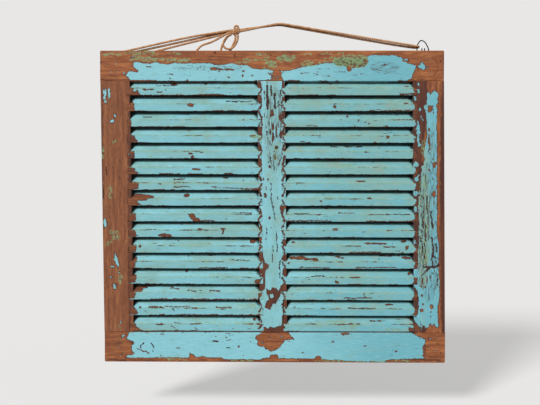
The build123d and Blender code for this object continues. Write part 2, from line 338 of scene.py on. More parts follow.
@dataclass(frozen=True)
class Slit:
    """A long narrow mark, by its two ends and its width in pixels."""

    start: Pair
    end: Pair
    width: float

    def span(self) -> np.ndarray:
        """Points that enclose it, one a row."""
        return np.array([self.start, self.end])

    def distance(self, seen: np.ndarray) -> np.ndarray:
        """Measures how far places are from its edge.

        Args:
            seen: the places' pixels across and down, one pair a row.

        Returns:
            The distances in pixels, below 0 inside.
        """
        start, run = np.array(self.start), np.array(self.end) - np.array(self.start)
        along = np.clip((seen - start) @ run / max(run @ run, 1e-9), 0, 1)
        return np.linalg.norm(seen - start - along[:, None] * run, axis=1) - self.width / 2


@dataclass(frozen=True)
class Outline:
    """A mark with a drawn outline, by the pixels of its corners."""

    corners: tuple[Pair, ...]

    def span(self) -> np.ndarray:
        """Points that enclose it, one a row."""
        return np.array(self.corners)

    def distance(self, seen: np.ndarray) -> np.ndarray:
        """Measures how far places are from its edge.

        Args:
            seen: the places' pixels across and down, one pair a row.

        Returns:
            The distances in pixels, below 0 inside.
        """
        nearest = np.full(len(seen), np.inf)
        inside = np.zeros(len(seen), dtype=bool)
        for start, end in zip(self.corners, self.corners[1:] + self.corners[:1]):
            nearest = np.minimum(nearest, Slit(start, end, 0).distance(seen))
            crosses = (start[1] > seen[:, 1]) != (end[1] > seen[:, 1])
            rise = (end[1] - start[1]) or 1e-9
            edge = start[0] + (seen[:, 1] - start[1]) / rise * (end[0] - start[0])
            inside ^= crosses & (seen[:, 0] < edge)
        return np.where(inside, -nearest, nearest)


Mark = Patch | Slit | Outline


def patches(*boxes: tuple[float, float, float, float]) -> list[Mark]:
    """Oval marks from their left, top, right and bottom pixels."""
    return [Patch(*box) for box in boxes]


def slits(width: float, *lines: tuple[float, float, float, float]) -> list[Mark]:
    """Narrow marks of one width, from the pixels of their ends."""
    return [Slit((line[0], line[1]), (line[2], line[3]), width) for line in lines]


def outline(*corners: Pair) -> list[Mark]:
    """One drawn mark, from the pixels of its corners."""
    return [Outline(tuple(corners))]


@dataclass(frozen=True)
class Marks:
    """All the marks on one timber or one bay.

    Attributes:
        painted: whether there is paint where no mark says otherwise.
        coat: stretches of paint.
        bare: where the paint is gone, down to the wood.
        green: where specks of an older green coat show, on paint and on wood.
        dark: deep cracks and holes, with no paint round them.
        flakes: bits of paint left on bare places.
        stain: where bare wood has gone dark.
        craze: where the paint has cracked into a fine net.
        fade: where the paint has turned greener.
    """

    painted: bool
    coat: Sequence[Mark] = ()
    bare: Sequence[Mark] = ()
    green: Sequence[Mark] = ()
    dark: Sequence[Mark] = ()
    flakes: Sequence[Mark] = ()
    stain: Sequence[Mark] = ()
    craze: Sequence[Mark] = ()
    fade: Sequence[Mark] = ()


# The pixels down of the dark gaps between the rows of slats, from the top
GAPS = (
    80.8, 96, 111.7, 127.5, 143.4, 159.1, 174.8, 190.6, 206.3, 221.5, 237, 253, 268.3, 283.3, 298.7, 315.1,
)


def split_joints(between: float, beside: float) -> list[Mark]:
    """The flaked joints between the centre stile and the slats' ends at one of its sides.

    Args:
        between: pixels across, where the wear is between two slats.
        beside: pixels across, where it is beside a slat.

    Returns:
        Two marks for each row.
    """
    made = []
    for gap in GAPS:
        made += slits(1.7, (between, gap - 0.6, beside, gap + 7), (beside, gap + 9.4, between, gap + 13.6))
    return made


def worn_ends(side: float, *rows: tuple) -> list[Mark]:
    """The worn ends of a bay's rows.

    Args:
        side: pixels across, where all the marks begin, past the rows' ends.
        rows: for each row its mark's top and bottom at that side, and the corners between them.

    Returns:
        One mark for each row.
    """
    made = []
    for top, bottom, *corners in rows:
        made += outline((side, top), *corners, (side, bottom))
    return made


TOP_RAIL_MARKS = Marks(
    painted=False,
    coat=outline(
        (126.9, 75.1), (128.5, 71.7), (131.8, 70.9), (137.3, 72.5), (139, 71.7), (138.5, 70.9),
        (135.4, 68.5), (133.4, 66), (133.9, 62.4), (138.5, 62.2), (143.3, 63.3), (149.4, 63.6),
        (155.4, 62.1), (161.5, 63.6), (168.8, 64.2), (174.8, 63), (184.5, 63.6), (202.7, 63), (209.4, 63.6),
        (217.2, 65.4), (223.3, 64.8), (233, 63.6), (240.3, 65.4), (247.5, 65.4), (252.4, 68.1),
        (259.6, 69.7), (264.5, 69.1), (273, 70.9), (271.8, 72.7), (266.9, 72.7), (269.3, 75.1), (271.8, 77),
        (270.5, 78.8), (264.5, 80.2), (240, 81.4), (189, 81), (187, 79), (185, 81), (157, 80.8),
        (155.4, 79), (153.5, 80.4), (130, 79.8),
    )
    + outline(
        (279.1, 70), (282.3, 71.3), (290.6, 70.6), (300.8, 67.4), (308.5, 66.1), (317.4, 64.9),
        (323.8, 63.2), (334, 63), (336.5, 65.5), (342.9, 65.5), (348, 67.4), (351.8, 68.3), (359.5, 67.8),
        (365.9, 65.5), (368.4, 61.7), (367.1, 56.6), (372.2, 55.1), (392.7, 55.3), (400.3, 57.2),
        (404.1, 61), (408.6, 63), (416.3, 66.1), (415, 70), (412.4, 74.4), (411.8, 77.6), (406.7, 80.4),
        (387.6, 82.4), (362, 82.6), (299.5, 82), (283, 81), (281.7, 75.7), (282.3, 72.5),
    ),
    bare=patches(
        (210.6, 67.3, 217.8, 70), (242, 70.3, 245, 72), (241.5, 74.3, 243.7, 77), (347, 67, 351.2, 72),
        (402.5, 59.6, 409.4, 61.8), (383.4, 64.2, 386.2, 65.6), (226, 76.5, 229.5, 77.8),
        (199, 66.3, 202, 67.4), (251, 75, 254, 76.2),
    )
    + slits(1.7, (218.8, 69.5, 233.8, 69.9))
    + slits(1.6, (289, 81, 299, 81.2), (320, 81.2, 327, 81.3), (336, 81.2, 338, 81.2), (399, 81, 403, 81))
    + slits(1.0, (167.5, 74.5, 173.6, 74.6), (147, 66.6, 152, 66.9))
    + slits(
        0.45, (318, 68.5, 330, 68.9), (334, 71.6, 346, 72), (353, 74.8, 366, 74.6), (371, 69.8, 383, 70.2),
        (384, 73.6, 399, 73.3), (391, 67.2, 401, 67.6), (322, 76.3, 331, 76.1), (376, 65.2, 386, 65),
        (301, 73.3, 310, 73.1), (356, 71.2, 363, 71),
    ),
    green=outline(
        (263.2, 57.6), (267, 56.8), (270, 58.6), (269.4, 60.6), (274.4, 61), (277.6, 65), (275.4, 67.6),
        (270, 69.4), (262.4, 68.8), (262, 66), (266.4, 62.4), (263.6, 60.6),
    )
    + outline(
        (276, 58), (279.6, 54.8), (288, 54.2), (295.4, 55.4), (296.6, 58.6), (293.4, 61.4), (286, 62.8),
        (279.4, 61.8),
    )
    + outline((300.4, 66.4), (302.6, 61.8), (308.6, 60.4), (314.4, 62.8), (317, 65.2), (308, 66.8))
    + outline(
        (329.6, 60.4), (334, 56.4), (345, 54.8), (358, 54.6), (367.8, 56), (368.6, 61.4), (365.6, 66.4),
        (357, 68), (349.6, 66.6), (341, 68.2), (333.4, 66.2),
    )
    + patches(
        (124.6, 50.8, 158, 55), (102, 53.4, 122, 55.8), (129, 56.4, 163, 61.6), (162.7, 58, 191.8, 62),
        (168.8, 52.2, 182, 54.6), (242.7, 58.5, 262, 61), (256, 53.2, 269, 55),
    )
    + slits(1.3, (318, 62.8, 330, 60.6), (325, 58.4, 334, 57.6))
    + slits(
        1.0, (304, 54.4, 311, 54.2), (321, 53.7, 331, 53.4), (338, 53.4, 344, 53.3), (236, 62.6, 250, 61.9),
    ),
    dark=patches(
        (99.6, 61.6, 102.2, 63.2), (213.6, 52.2, 215.6, 54), (439.4, 60.2, 441.2, 62),
        (269, 54.4, 273, 55.6),
    )
    + slits(0.7, (234.6, 53.4, 235.4, 57.6), (409, 79.9, 424, 79.7), (101, 79.9, 112, 79.9)),
    stain=patches((334, 56.6, 352, 67), (350, 57, 367, 68))
    + slits(
        1.5, (432.6, 57.6, 436.6, 61), (436.6, 61, 437.8, 70), (437.8, 70, 434.4, 75.4),
        (109.6, 75.6, 117.8, 76.6),
    )
    + slits(
        1.3, (418.6, 64, 418.2, 71), (98, 52.6, 104, 52.4), (101.4, 79.4, 138, 79.6), (150, 81, 440, 81),
    )
    + slits(1.2, (99.6, 52, 99.8, 78), (443.4, 54, 443.6, 78))
    + slits(
        1.0, (150, 55.9, 176, 56.3), (196, 60.3, 222, 59.9), (208, 56.4, 238, 56.8), (296, 58.8, 320, 58.3),
        (374, 53.3, 402, 53.6), (104, 58.6, 121, 59.1), (186, 53.4, 204, 53.8), (284, 52.8, 300, 53.2),
        (348.6, 67.6, 349.6, 71.6), (298, 63.6, 301, 66.8), (318, 55.8, 330, 55.9),
    ),
    craze=patches((368, 59, 402, 76), (170, 63, 250, 73)),
    flakes=outline((417.5, 66.1), (422.6, 61.7), (425.8, 67.4), (423.3, 70), (419.4, 68.7))
    + patches(
        (402.9, 59, 408.6, 60.5), (130, 56.9, 136, 57.9), (270.5, 73.2, 273, 75),
        (276.8, 76.4, 279.2, 78.4), (273.2, 76.8, 275, 78), (427, 66.6, 428.8, 68),
        (123.6, 72.6, 125.4, 74),
    ),
)

BOTTOM_RAIL_MARKS = Marks(
    painted=False,
    coat=outline(
        (128.2, 333.8), (127.6, 336.4), (126.4, 339), (132.4, 340.9), (135.4, 341.5), (134.2, 343.9),
        (131.8, 345.1), (131.2, 348.2), (132.4, 351.8), (134.8, 353.6), (127.6, 356), (125.1, 357.8),
        (150, 357.4), (189, 357.4), (189.6, 352.4), (193, 354.2), (195.4, 356.6), (211, 357.4),
        (222, 357.6), (224.5, 359), (259.6, 359.7), (265.7, 357.8), (269.3, 357.8), (270.4, 354.6),
        (277, 354.2), (278.4, 358.4), (314.8, 358.4), (316.4, 355.9), (320.8, 356.3), (322, 359.4),
        (336.5, 360), (349.3, 361), (385, 362.2), (385.6, 359.7), (410.5, 358.7), (424.5, 359),
        (422, 355.9), (422.6, 352), (422, 346.9), (424.5, 343.8), (426, 340.6), (423.3, 338.6),
        (418.2, 336.7), (413, 334.2), (410.5, 332), (289.3, 332), (128.6, 332),
    ),
    bare=outline(
        (263.3, 332), (256, 336.6), (255.4, 338.5), (257.8, 340.9), (257.2, 344.5), (260.9, 346.9),
        (264.5, 346.9), (265, 350), (267.5, 349.4), (270.5, 351.2), (275.4, 350), (279.1, 348.2),
        (283, 343.1), (284.9, 340.8), (290.6, 339.5), (294.2, 339.3), (289.3, 334.2), (287.4, 331),
    )
    + patches(
        (160.3, 333.6, 163.9, 335), (226, 339.4, 233, 340.7), (340.4, 332.6, 349.3, 335.2),
        (237.2, 345.7, 239.3, 347.2), (301, 352.2, 305, 353.3), (176, 347.6, 180, 348.6),
        (362, 345.6, 367, 346.7), (395, 350.4, 398, 351.8), (331, 341, 334, 342.2),
    )
    + slits(1.2, (136.7, 348.8, 142, 350.4), (142, 350.4, 149.4, 353)),
    green=patches((393, 359.4, 409, 361.6), (232, 359.6, 252, 361.2), (160, 358.2, 186, 360))
    + slits(1.7, (316, 360.4, 349, 361.7), (349, 361.7, 385, 361.2)),
    dark=patches((212.4, 340.2, 219, 342.4), (440.3, 352, 441.7, 353.4))
    + slits(1.1, (226.3, 347.8, 231.2, 347.6), (144, 343, 140.9, 345.1), (140.9, 345.1, 140.3, 347.5))
    + slits(0.9, (151.2, 342.7, 154.2, 347), (154.2, 347, 152.4, 351.8)),
    stain=slits(
        2.2, (424.4, 339, 425, 355), (386, 359.6, 440, 360.4), (132, 338, 133.4, 351),
        (108, 359.8, 126, 360.6),
    )
    + slits(1.4, (200, 360.2, 300, 361.8), (330, 362.6, 420, 362.6))
    + slits(
        1.0, (109, 354.5, 124, 355.2), (428, 344.6, 440, 344.2), (266, 341, 282, 341.6),
        (106, 343.6, 122, 344.2), (298, 360.6, 312, 360.8), (130, 360, 158, 360.3), (430, 357, 443, 357.4),
    ),
    flakes=outline((120.3, 336.6), (122.1, 335.4), (125.7, 334.2), (125.1, 336), (121.7, 337.9))
    + patches((429, 338.4, 430.6, 339.8), (262, 341.6, 263.6, 343), (280, 335.9, 282, 337.2)),
)

LEFT_STILE_MARKS = Marks(
    painted=False,
    green=patches(
        (112.4, 139.4, 115.4, 143), (101.5, 146.6, 104, 159.7), (108.2, 185, 112.4, 198.5),
        (110, 229.8, 113.4, 233.6), (113.8, 231, 118.8, 234.4), (112.4, 234.6, 115.6, 239),
        (116.8, 235, 119.8, 239.8), (109.4, 238.4, 113, 242.6), (105.8, 242, 109.4, 245.7),
        (118.3, 268.6, 121.1, 273.6), (119.3, 274.6, 121.9, 279.4), (118.1, 279.6, 120.9, 284),
        (117.3, 324.5, 122.1, 330), (103.4, 205, 105, 216),
    ),
    dark=slits(1.3, (106.6, 167, 107, 175.5), (103.7, 190, 103.8, 198.5)),
    stain=patches((127.4, 78, 133, 340), (101, 84, 103.4, 230))
    + slits(
        0.9, (122.5, 96, 123.3, 140), (113.2, 150, 114.2, 182), (119.4, 176, 120.6, 214),
        (109.6, 206, 110.2, 226), (124.4, 225, 125, 262), (113.8, 296, 114.9, 326),
        (122.8, 292, 123.4, 318), (108.6, 300, 108.9, 330), (108.4, 118, 109.2, 136),
        (117.4, 84, 117.9, 108), (106.4, 262, 107.2, 288),
    ),
    flakes=outline(
        (115.2, 252.4), (116.7, 257.3), (118.1, 262.1), (118.5, 268.2), (116.9, 265.8), (116, 263.3),
        (114, 260.3),
    )
    + outline(
        (112.4, 285.1), (114.8, 283.3), (117.3, 284.5), (116.9, 287.6), (115.2, 289.4), (113.6, 287.6),
    )
    + patches(
        (103.3, 88.5, 106.4, 100.6), (107.6, 87.9, 110, 99.4), (104.5, 99.4, 107, 104.2),
        (111.8, 104, 113, 106), (110, 119.4, 113.6, 123), (114.2, 114, 115.7, 118.8),
        (103.9, 217.9, 107, 228), (111.2, 265.1, 114.2, 268.2), (110, 275.4, 112.4, 278.5),
        (119.7, 320.9, 121.7, 323.9), (118.6, 271, 120, 273.4), (119.4, 277, 120.8, 279.4),
        (111, 232, 113, 234.6), (116.4, 236, 118.4, 238.4),
    ),
)

CENTRE_STILE_MARKS = Marks(
    painted=True,
    bare=split_joints(258.6, 261.6)
    + split_joints(284.9, 282.2)
    + outline(
        (259, 257.3), (264.5, 257.3), (264.5, 263.3), (269.3, 264.5), (269.3, 268.2), (265.7, 270),
        (264.5, 275.4), (265.7, 281.5), (265, 290), (259.6, 291.2), (257, 291), (257, 257),
    )
    + outline(
        (266.4, 288.3), (270.2, 290.8), (272.1, 287), (276.6, 288.3), (278.5, 290.8), (282.3, 284.4),
        (287.5, 287), (281.7, 292.1), (279.1, 297.2), (277.9, 301), (275.3, 304.2), (272.1, 303.6),
        (270.2, 310), (264.5, 307.4), (266.4, 301), (268.9, 298.5), (266.4, 293.4),
    )
    + outline(
        (262.5, 326.5), (267.7, 328.4), (270.2, 326.5), (274, 327.8), (276.6, 326.5), (281, 325.9),
        (284.2, 324), (287.4, 331.6), (287.4, 335), (260, 335), (260, 330),
    )
    + outline(
        (269.5, 116.8), (271, 110.6), (272.6, 108.6), (273.6, 112.6), (275.6, 113.8), (275, 115.8),
        (272.6, 116), (271, 117.6),
    )
    + patches(
        (278.5, 112.6, 282.3, 121), (268.4, 118.6, 269.8, 128), (271.8, 123.6, 274, 130.4),
        (275.4, 125, 277, 138.4), (269.8, 129.2, 271.2, 135.4), (271.8, 132.6, 274, 142),
        (279, 131.6, 283, 138), (273.8, 153.4, 276.4, 159), (281.6, 81, 284.6, 92),
        (263.6, 91, 264.8, 94.6), (257, 145, 261, 149.4), (257, 185, 261, 190.4), (257, 199, 260.4, 209),
        (281.8, 165, 286, 175), (282.4, 184.6, 287.4, 189.6), (282.6, 201, 287.6, 209),
        (267.7, 160.8, 269.6, 162.8), (268.9, 165.3, 270.8, 168.5), (262.5, 177.4, 264.5, 180.6),
        (263.6, 193, 266.8, 197.4), (280.4, 204.8, 283, 213.8), (269, 216.3, 270.6, 219.5),
        (283.6, 239.3, 288.4, 248.2), (282.3, 253.8, 288.4, 262), (283, 266.6, 288.4, 276.8),
        (282.3, 282.5, 288.4, 292), (283.6, 297.2, 288.4, 308.7), (281.7, 313.8, 288.4, 325.3),
        (257, 128, 262, 136), (257, 141.5, 262, 143.4), (257, 148.5, 261.5, 152), (257, 154, 262, 173.4),
        (257, 211, 262, 221.4), (257, 226.5, 262.5, 241.8), (257, 244.4, 263.2, 270),
        (257, 80.4, 261.8, 90), (257, 91, 262, 103.8), (257, 119, 262.6, 132.4), (281.6, 96, 287, 100.6),
        (282, 105.6, 287, 118.6), (281, 133, 287, 137.4), (283, 148, 288, 152),
    )
    + slits(1.1, (279.5, 160.5, 282.2, 157.6), (277.4, 164.8, 280.2, 161.4), (268.2, 178, 268.4, 180.4))
    + slits(0.9, (266.2, 186.8, 266.6, 189.4), (277.6, 197, 278.2, 200), (273, 206.4, 273.6, 209)),
    green=patches((272.8, 142.4, 280.4, 152.4), (273, 152, 279, 160)),
    stain=outline((255, 76), (291, 76), (291, 336), (255, 336)),
    craze=patches((262, 84, 288, 175)),
    dark=patches((275, 145.9, 277.8, 149.7))
    + slits(2.0, (267.2, 85.4, 267.6, 108.6))
    + slits(1.7, (271, 85.8, 271.6, 95.4), (274.9, 93.8, 275.2, 108.6))
    + slits(
        1.2, (266.9, 81.4, 267, 83), (278.4, 101.4, 278.6, 106), (266.9, 132, 267.2, 135),
        (280, 88, 280.4, 97),
    )
    + slits(1.1, (270.7, 183, 271.8, 203.6), (271.8, 203.6, 275.6, 220.4), (283.6, 300, 283.6, 322))
    + slits(
        0.9, (269.6, 156.8, 271.4, 164), (273.4, 160, 273.8, 170), (266.2, 226, 266.6, 243),
        (276.8, 231, 277.2, 252), (272.6, 246, 272.9, 262), (279.8, 260, 279.9, 278),
    ),
    flakes=patches((269.4, 293.8, 273.8, 298.6), (259.4, 262, 261, 266), (260.4, 274, 262, 279)),
)

RIGHT_STILE_MARKS = Marks(
    painted=False,
    coat=outline(
        (427.1, 92.9), (428.6, 92), (430.6, 95), (432.2, 94), (433.3, 90.2), (434.4, 90.4), (437.8, 93.8),
        (438, 96), (436.9, 104.4), (436.8, 111.4), (436.7, 145), (437.1, 190), (436.7, 230), (438.6, 246),
        (438.6, 270), (439.2, 285), (438.6, 302), (437.3, 312), (438.2, 320), (438.6, 327.2),
        (436.7, 327.2), (433.5, 323.3), (432.2, 326.5), (430.3, 322.7), (428.4, 326.5), (427.3, 326.5),
        (425.8, 329), (423.9, 325.3), (421.4, 329.7), (418.2, 325.3), (415, 321.4), (412, 318.9),
        (412, 270), (417.6, 268), (419, 240), (418.4, 200), (420, 178), (423.6, 164), (424.4, 150),
        (426.2, 140), (427.1, 137), (426.5, 129.3), (427.1, 121.6), (425.4, 113), (426.8, 105),
    ),
    bare=outline((427.9, 105.4), (433.8, 105.1), (433.2, 108), (432, 110.4), (429.4, 113.6), (428, 112))
    + patches(
        (428, 127.8, 430, 132), (432.6, 161.8, 435.4, 168), (428.8, 168.6, 430.4, 171.4),
        (431.4, 177, 432.8, 180.2), (432.1, 190.6, 436.3, 197.4), (421, 294, 423.2, 297.2),
        (420, 308.5, 423.9, 312.5), (430.1, 304.6, 433.9, 309.5), (430.4, 311, 431.8, 312.4),
        (430.9, 315.8, 432.3, 317.2), (412, 286, 418.6, 317), (418.6, 171, 420, 196),
        (432.4, 158.4, 434, 160.4), (428.4, 150, 429.4, 153.6), (431.4, 172, 432.8, 173.8),
        (433, 201.4, 434.4, 204.4), (425, 230, 426.6, 238), (420.2, 284.8, 422, 287.6),
        (424, 286.6, 425.8, 288.4), (421.8, 303.4, 424, 305.4), (433.4, 288, 434.6, 290.6),
    )
    + slits(1.6, (429, 135, 429.4, 149.2))
    + slits(
        1.0, (425.4, 256, 425.9, 266), (422.2, 278, 422.6, 285), (426.8, 277, 427, 283),
        (430.2, 276, 431.2, 280),
    ),
    fade=outline(
        (416, 160), (422, 136), (427, 140), (429.2, 164), (430.4, 200), (430, 230), (429.4, 262),
        (428.6, 284), (424, 289), (417.6, 288), (417.4, 240), (417, 200),
    ),
    green=patches((421.4, 140, 424.6, 156))
    + slits(
        1.5, (420.4, 180, 420.2, 208), (424.6, 176, 424.8, 198), (422.6, 214, 422.8, 236),
        (420.6, 236, 421, 262), (426.6, 204, 426.8, 232), (424.2, 240, 424.6, 264),
        (427.6, 246, 427.8, 262),
    ),
    dark=slits(1.9, (439, 264.6, 434.4, 268.2), (434.4, 268.2, 431.2, 266.8), (431.2, 266.8, 427, 270.6))
    + slits(
        1.5, (431, 212, 432.8, 227.4), (432.4, 238, 433.4, 246), (433.4, 246, 432.4, 256),
        (432.4, 256, 433, 267), (427, 270.6, 421.8, 276), (430.6, 267.4, 423.4, 266.8),
    )
    + slits(
        1.1, (437.4, 273.6, 437.2, 279), (437.2, 279, 437.6, 285), (433, 256, 436.4, 258),
        (436, 244, 436.6, 252),
    )
    + slits(
        0.8, (420.6, 176, 421, 208), (423.2, 186, 423.6, 232), (425.9, 174, 426.4, 212),
        (421.8, 214, 422.2, 256), (425.4, 222, 425.7, 258), (427.9, 196, 428.2, 240),
        (419.9, 236, 420.2, 266), (423.8, 242, 424, 268),
    ),
    stain=outline(
        (411, 78), (427.4, 80), (427.8, 92), (426.6, 120), (424, 142), (421, 168), (419, 336), (411, 336),
    )
    + patches((418, 160, 424, 176), (418, 324, 427, 333), (439.6, 70, 447, 345))
    + slits(
        1.0, (440.9, 96, 441.1, 150), (442.2, 170, 442.4, 232), (441, 250, 441.3, 312),
        (418.6, 82, 418.9, 100), (423.6, 84, 423.8, 104), (430.6, 82.6, 430.8, 90), (436, 82, 436.2, 89),
        (440, 82.4, 440.1, 92), (443.6, 82, 444.2, 330),
    ),
    craze=patches((412, 160, 446, 304), (426, 120, 440, 286)),
    flakes=outline((417, 88.2), (419.9, 88.6), (419.6, 92), (418.6, 95.4), (417.2, 95.8), (417.8, 93))
    + outline((422.6, 107.2), (425.8, 103.8), (426.6, 104.6), (426.4, 112.6), (424.6, 109.4))
    + outline((419.8, 115), (421.2, 115.6), (424, 120.2), (424, 122.6), (422.4, 120.2), (420.6, 117.6))
    + outline(
        (417.2, 117.4), (418.4, 119), (419, 124), (420.4, 129), (421, 132.6), (419.6, 134.8),
        (419.8, 144.6), (421.6, 145.4), (418, 147), (417.2, 143), (416.9, 134), (415.4, 129.6), (417, 125),
    )
    + patches(
        (413.8, 94.8, 416.4, 101.9), (417, 82.4, 419, 87), (418.8, 107.4, 421, 111.6),
        (413.3, 161.5, 419.4, 167.4), (421, 165.2, 422.8, 168), (414.3, 176.8, 418.2, 181.9),
        (412.6, 190.6, 418.4, 196.8), (413.7, 206, 416.9, 212.5), (413, 239.3, 416.3, 244.4),
        (414.3, 285, 418.8, 289.5), (418.8, 144, 422, 146.6), (424.2, 155, 425.8, 157),
        (418, 174.4, 419.4, 176.4),
    ),
)

# Left ends of the left bay's rows, worn to the wood
LEFT_BAY_ENDS = worn_ends(
    125,
    (84, 96, (131, 87.3), (136, 88.5), (139.7, 93.3), (142, 95.4), (131, 96)),
    (99, 111.6, (131.8, 99.4), (134.2, 106), (135.4, 111)),
    (117, 127.4, (130.6, 118.8), (132.4, 127)),
    (133, 143.4, (133.6, 135.7), (137.3, 140.6), (138.5, 143.2)),
    (150, 159, (134.4, 151.5), (134.8, 159)),
    (166, 174.8, (135.4, 168.2), (134.2, 171.2), (139.7, 173), (134.8, 174.8)),
    (180, 190.4, (130, 180.9), (139.7, 182), (138.5, 188.8), (130, 190.4)),
    (
        195, 206.2, (131.8, 194.8), (138.5, 193.4), (147, 194.2), (154.2, 195.8), (153, 197.9),
        (147, 198.5), (147.6, 200.3), (138.5, 200.9), (137.9, 202), (142, 205), (130, 206.2),
    ),
    (212, 221.5, (130.6, 213), (135.4, 213), (136, 220.3), (131.8, 221.5)),
    (229, 237, (131.2, 230), (135.4, 230), (136, 234.8), (139, 236), (131.8, 237)),
    (244, 253, (136.7, 245), (135.4, 251.8), (132.4, 253)),
    (256, 268.2, (137.3, 256.6), (135.4, 266.3), (131.2, 268.2)),
    (273, 283.2, (136, 274.8), (136.7, 279), (135.4, 282), (131.2, 283.2)),
    (
        287, 298.6, (134.8, 286.4), (142, 285.4), (157.3, 285.4), (162.7, 286), (149.4, 287),
        (143.3, 288.8), (140.9, 291.8), (135.4, 292.4), (134, 298.4),
    ),
    (305, 315, (134.2, 307), (136.7, 309.4), (138.5, 313.6), (134.2, 315)),
    (320, 332.6, (134.2, 322.7), (136.7, 327), (143.3, 330.6), (134.2, 332.6)),
)

# Right ends of the right bay's rows: the paint stops on a slant and the corners are worn round
RIGHT_BAY_ENDS = worn_ends(
    422,
    (80, 96.6, (411.4, 80), (412.8, 87), (414.6, 92.6), (412, 96.4)),
    (96, 112, (412.4, 96), (414.9, 102), (415, 107), (413.2, 112)),
    (112, 127.6, (412, 112), (415.2, 118), (415.7, 124.6), (413.6, 127.6)),
    (128, 143.6, (411.2, 128), (412.8, 133), (415.8, 137), (415, 143.6)),
    (143.6, 159.4, (411.8, 143.6), (413.4, 149), (413.5, 155), (411.4, 159.4)),
    (159.4, 174.8, (412, 159.4), (414.2, 165), (415.8, 169), (413.6, 174.8)),
    (174.8, 190.8, (413, 174.8), (415.8, 182), (415.9, 188), (413, 190.8)),
    (190.8, 206.6, (412.6, 190.8), (416.2, 198), (416, 203.6), (412.4, 206.6)),
    (206.6, 221.8, (411.6, 206.6), (414.8, 214), (415.6, 218), (411.2, 221.8)),
    (221.8, 237.4, (412.8, 221.8), (415.4, 229), (415, 235), (412.6, 237.4)),
    (237.4, 253, (410.6, 237.4), (413.6, 244), (415.8, 249), (412.8, 253)),
    (253, 268.4, (409.4, 253), (412.2, 259), (415.4, 264), (413, 268.4)),
    (268.4, 283.4, (411, 268.4), (413.4, 275), (414.6, 281), (412, 283.4)),
    (283.4, 298.8, (412.2, 283.4), (414.4, 290), (414.2, 296), (411.6, 298.8)),
    (298.8, 315.2, (411.4, 298.8), (414, 306), (414.8, 311), (411.6, 315.2)),
    (318, 333, (405.6, 318.4), (413, 320.6), (414.3, 329.7), (408, 326.4), (409.4, 333)),
)

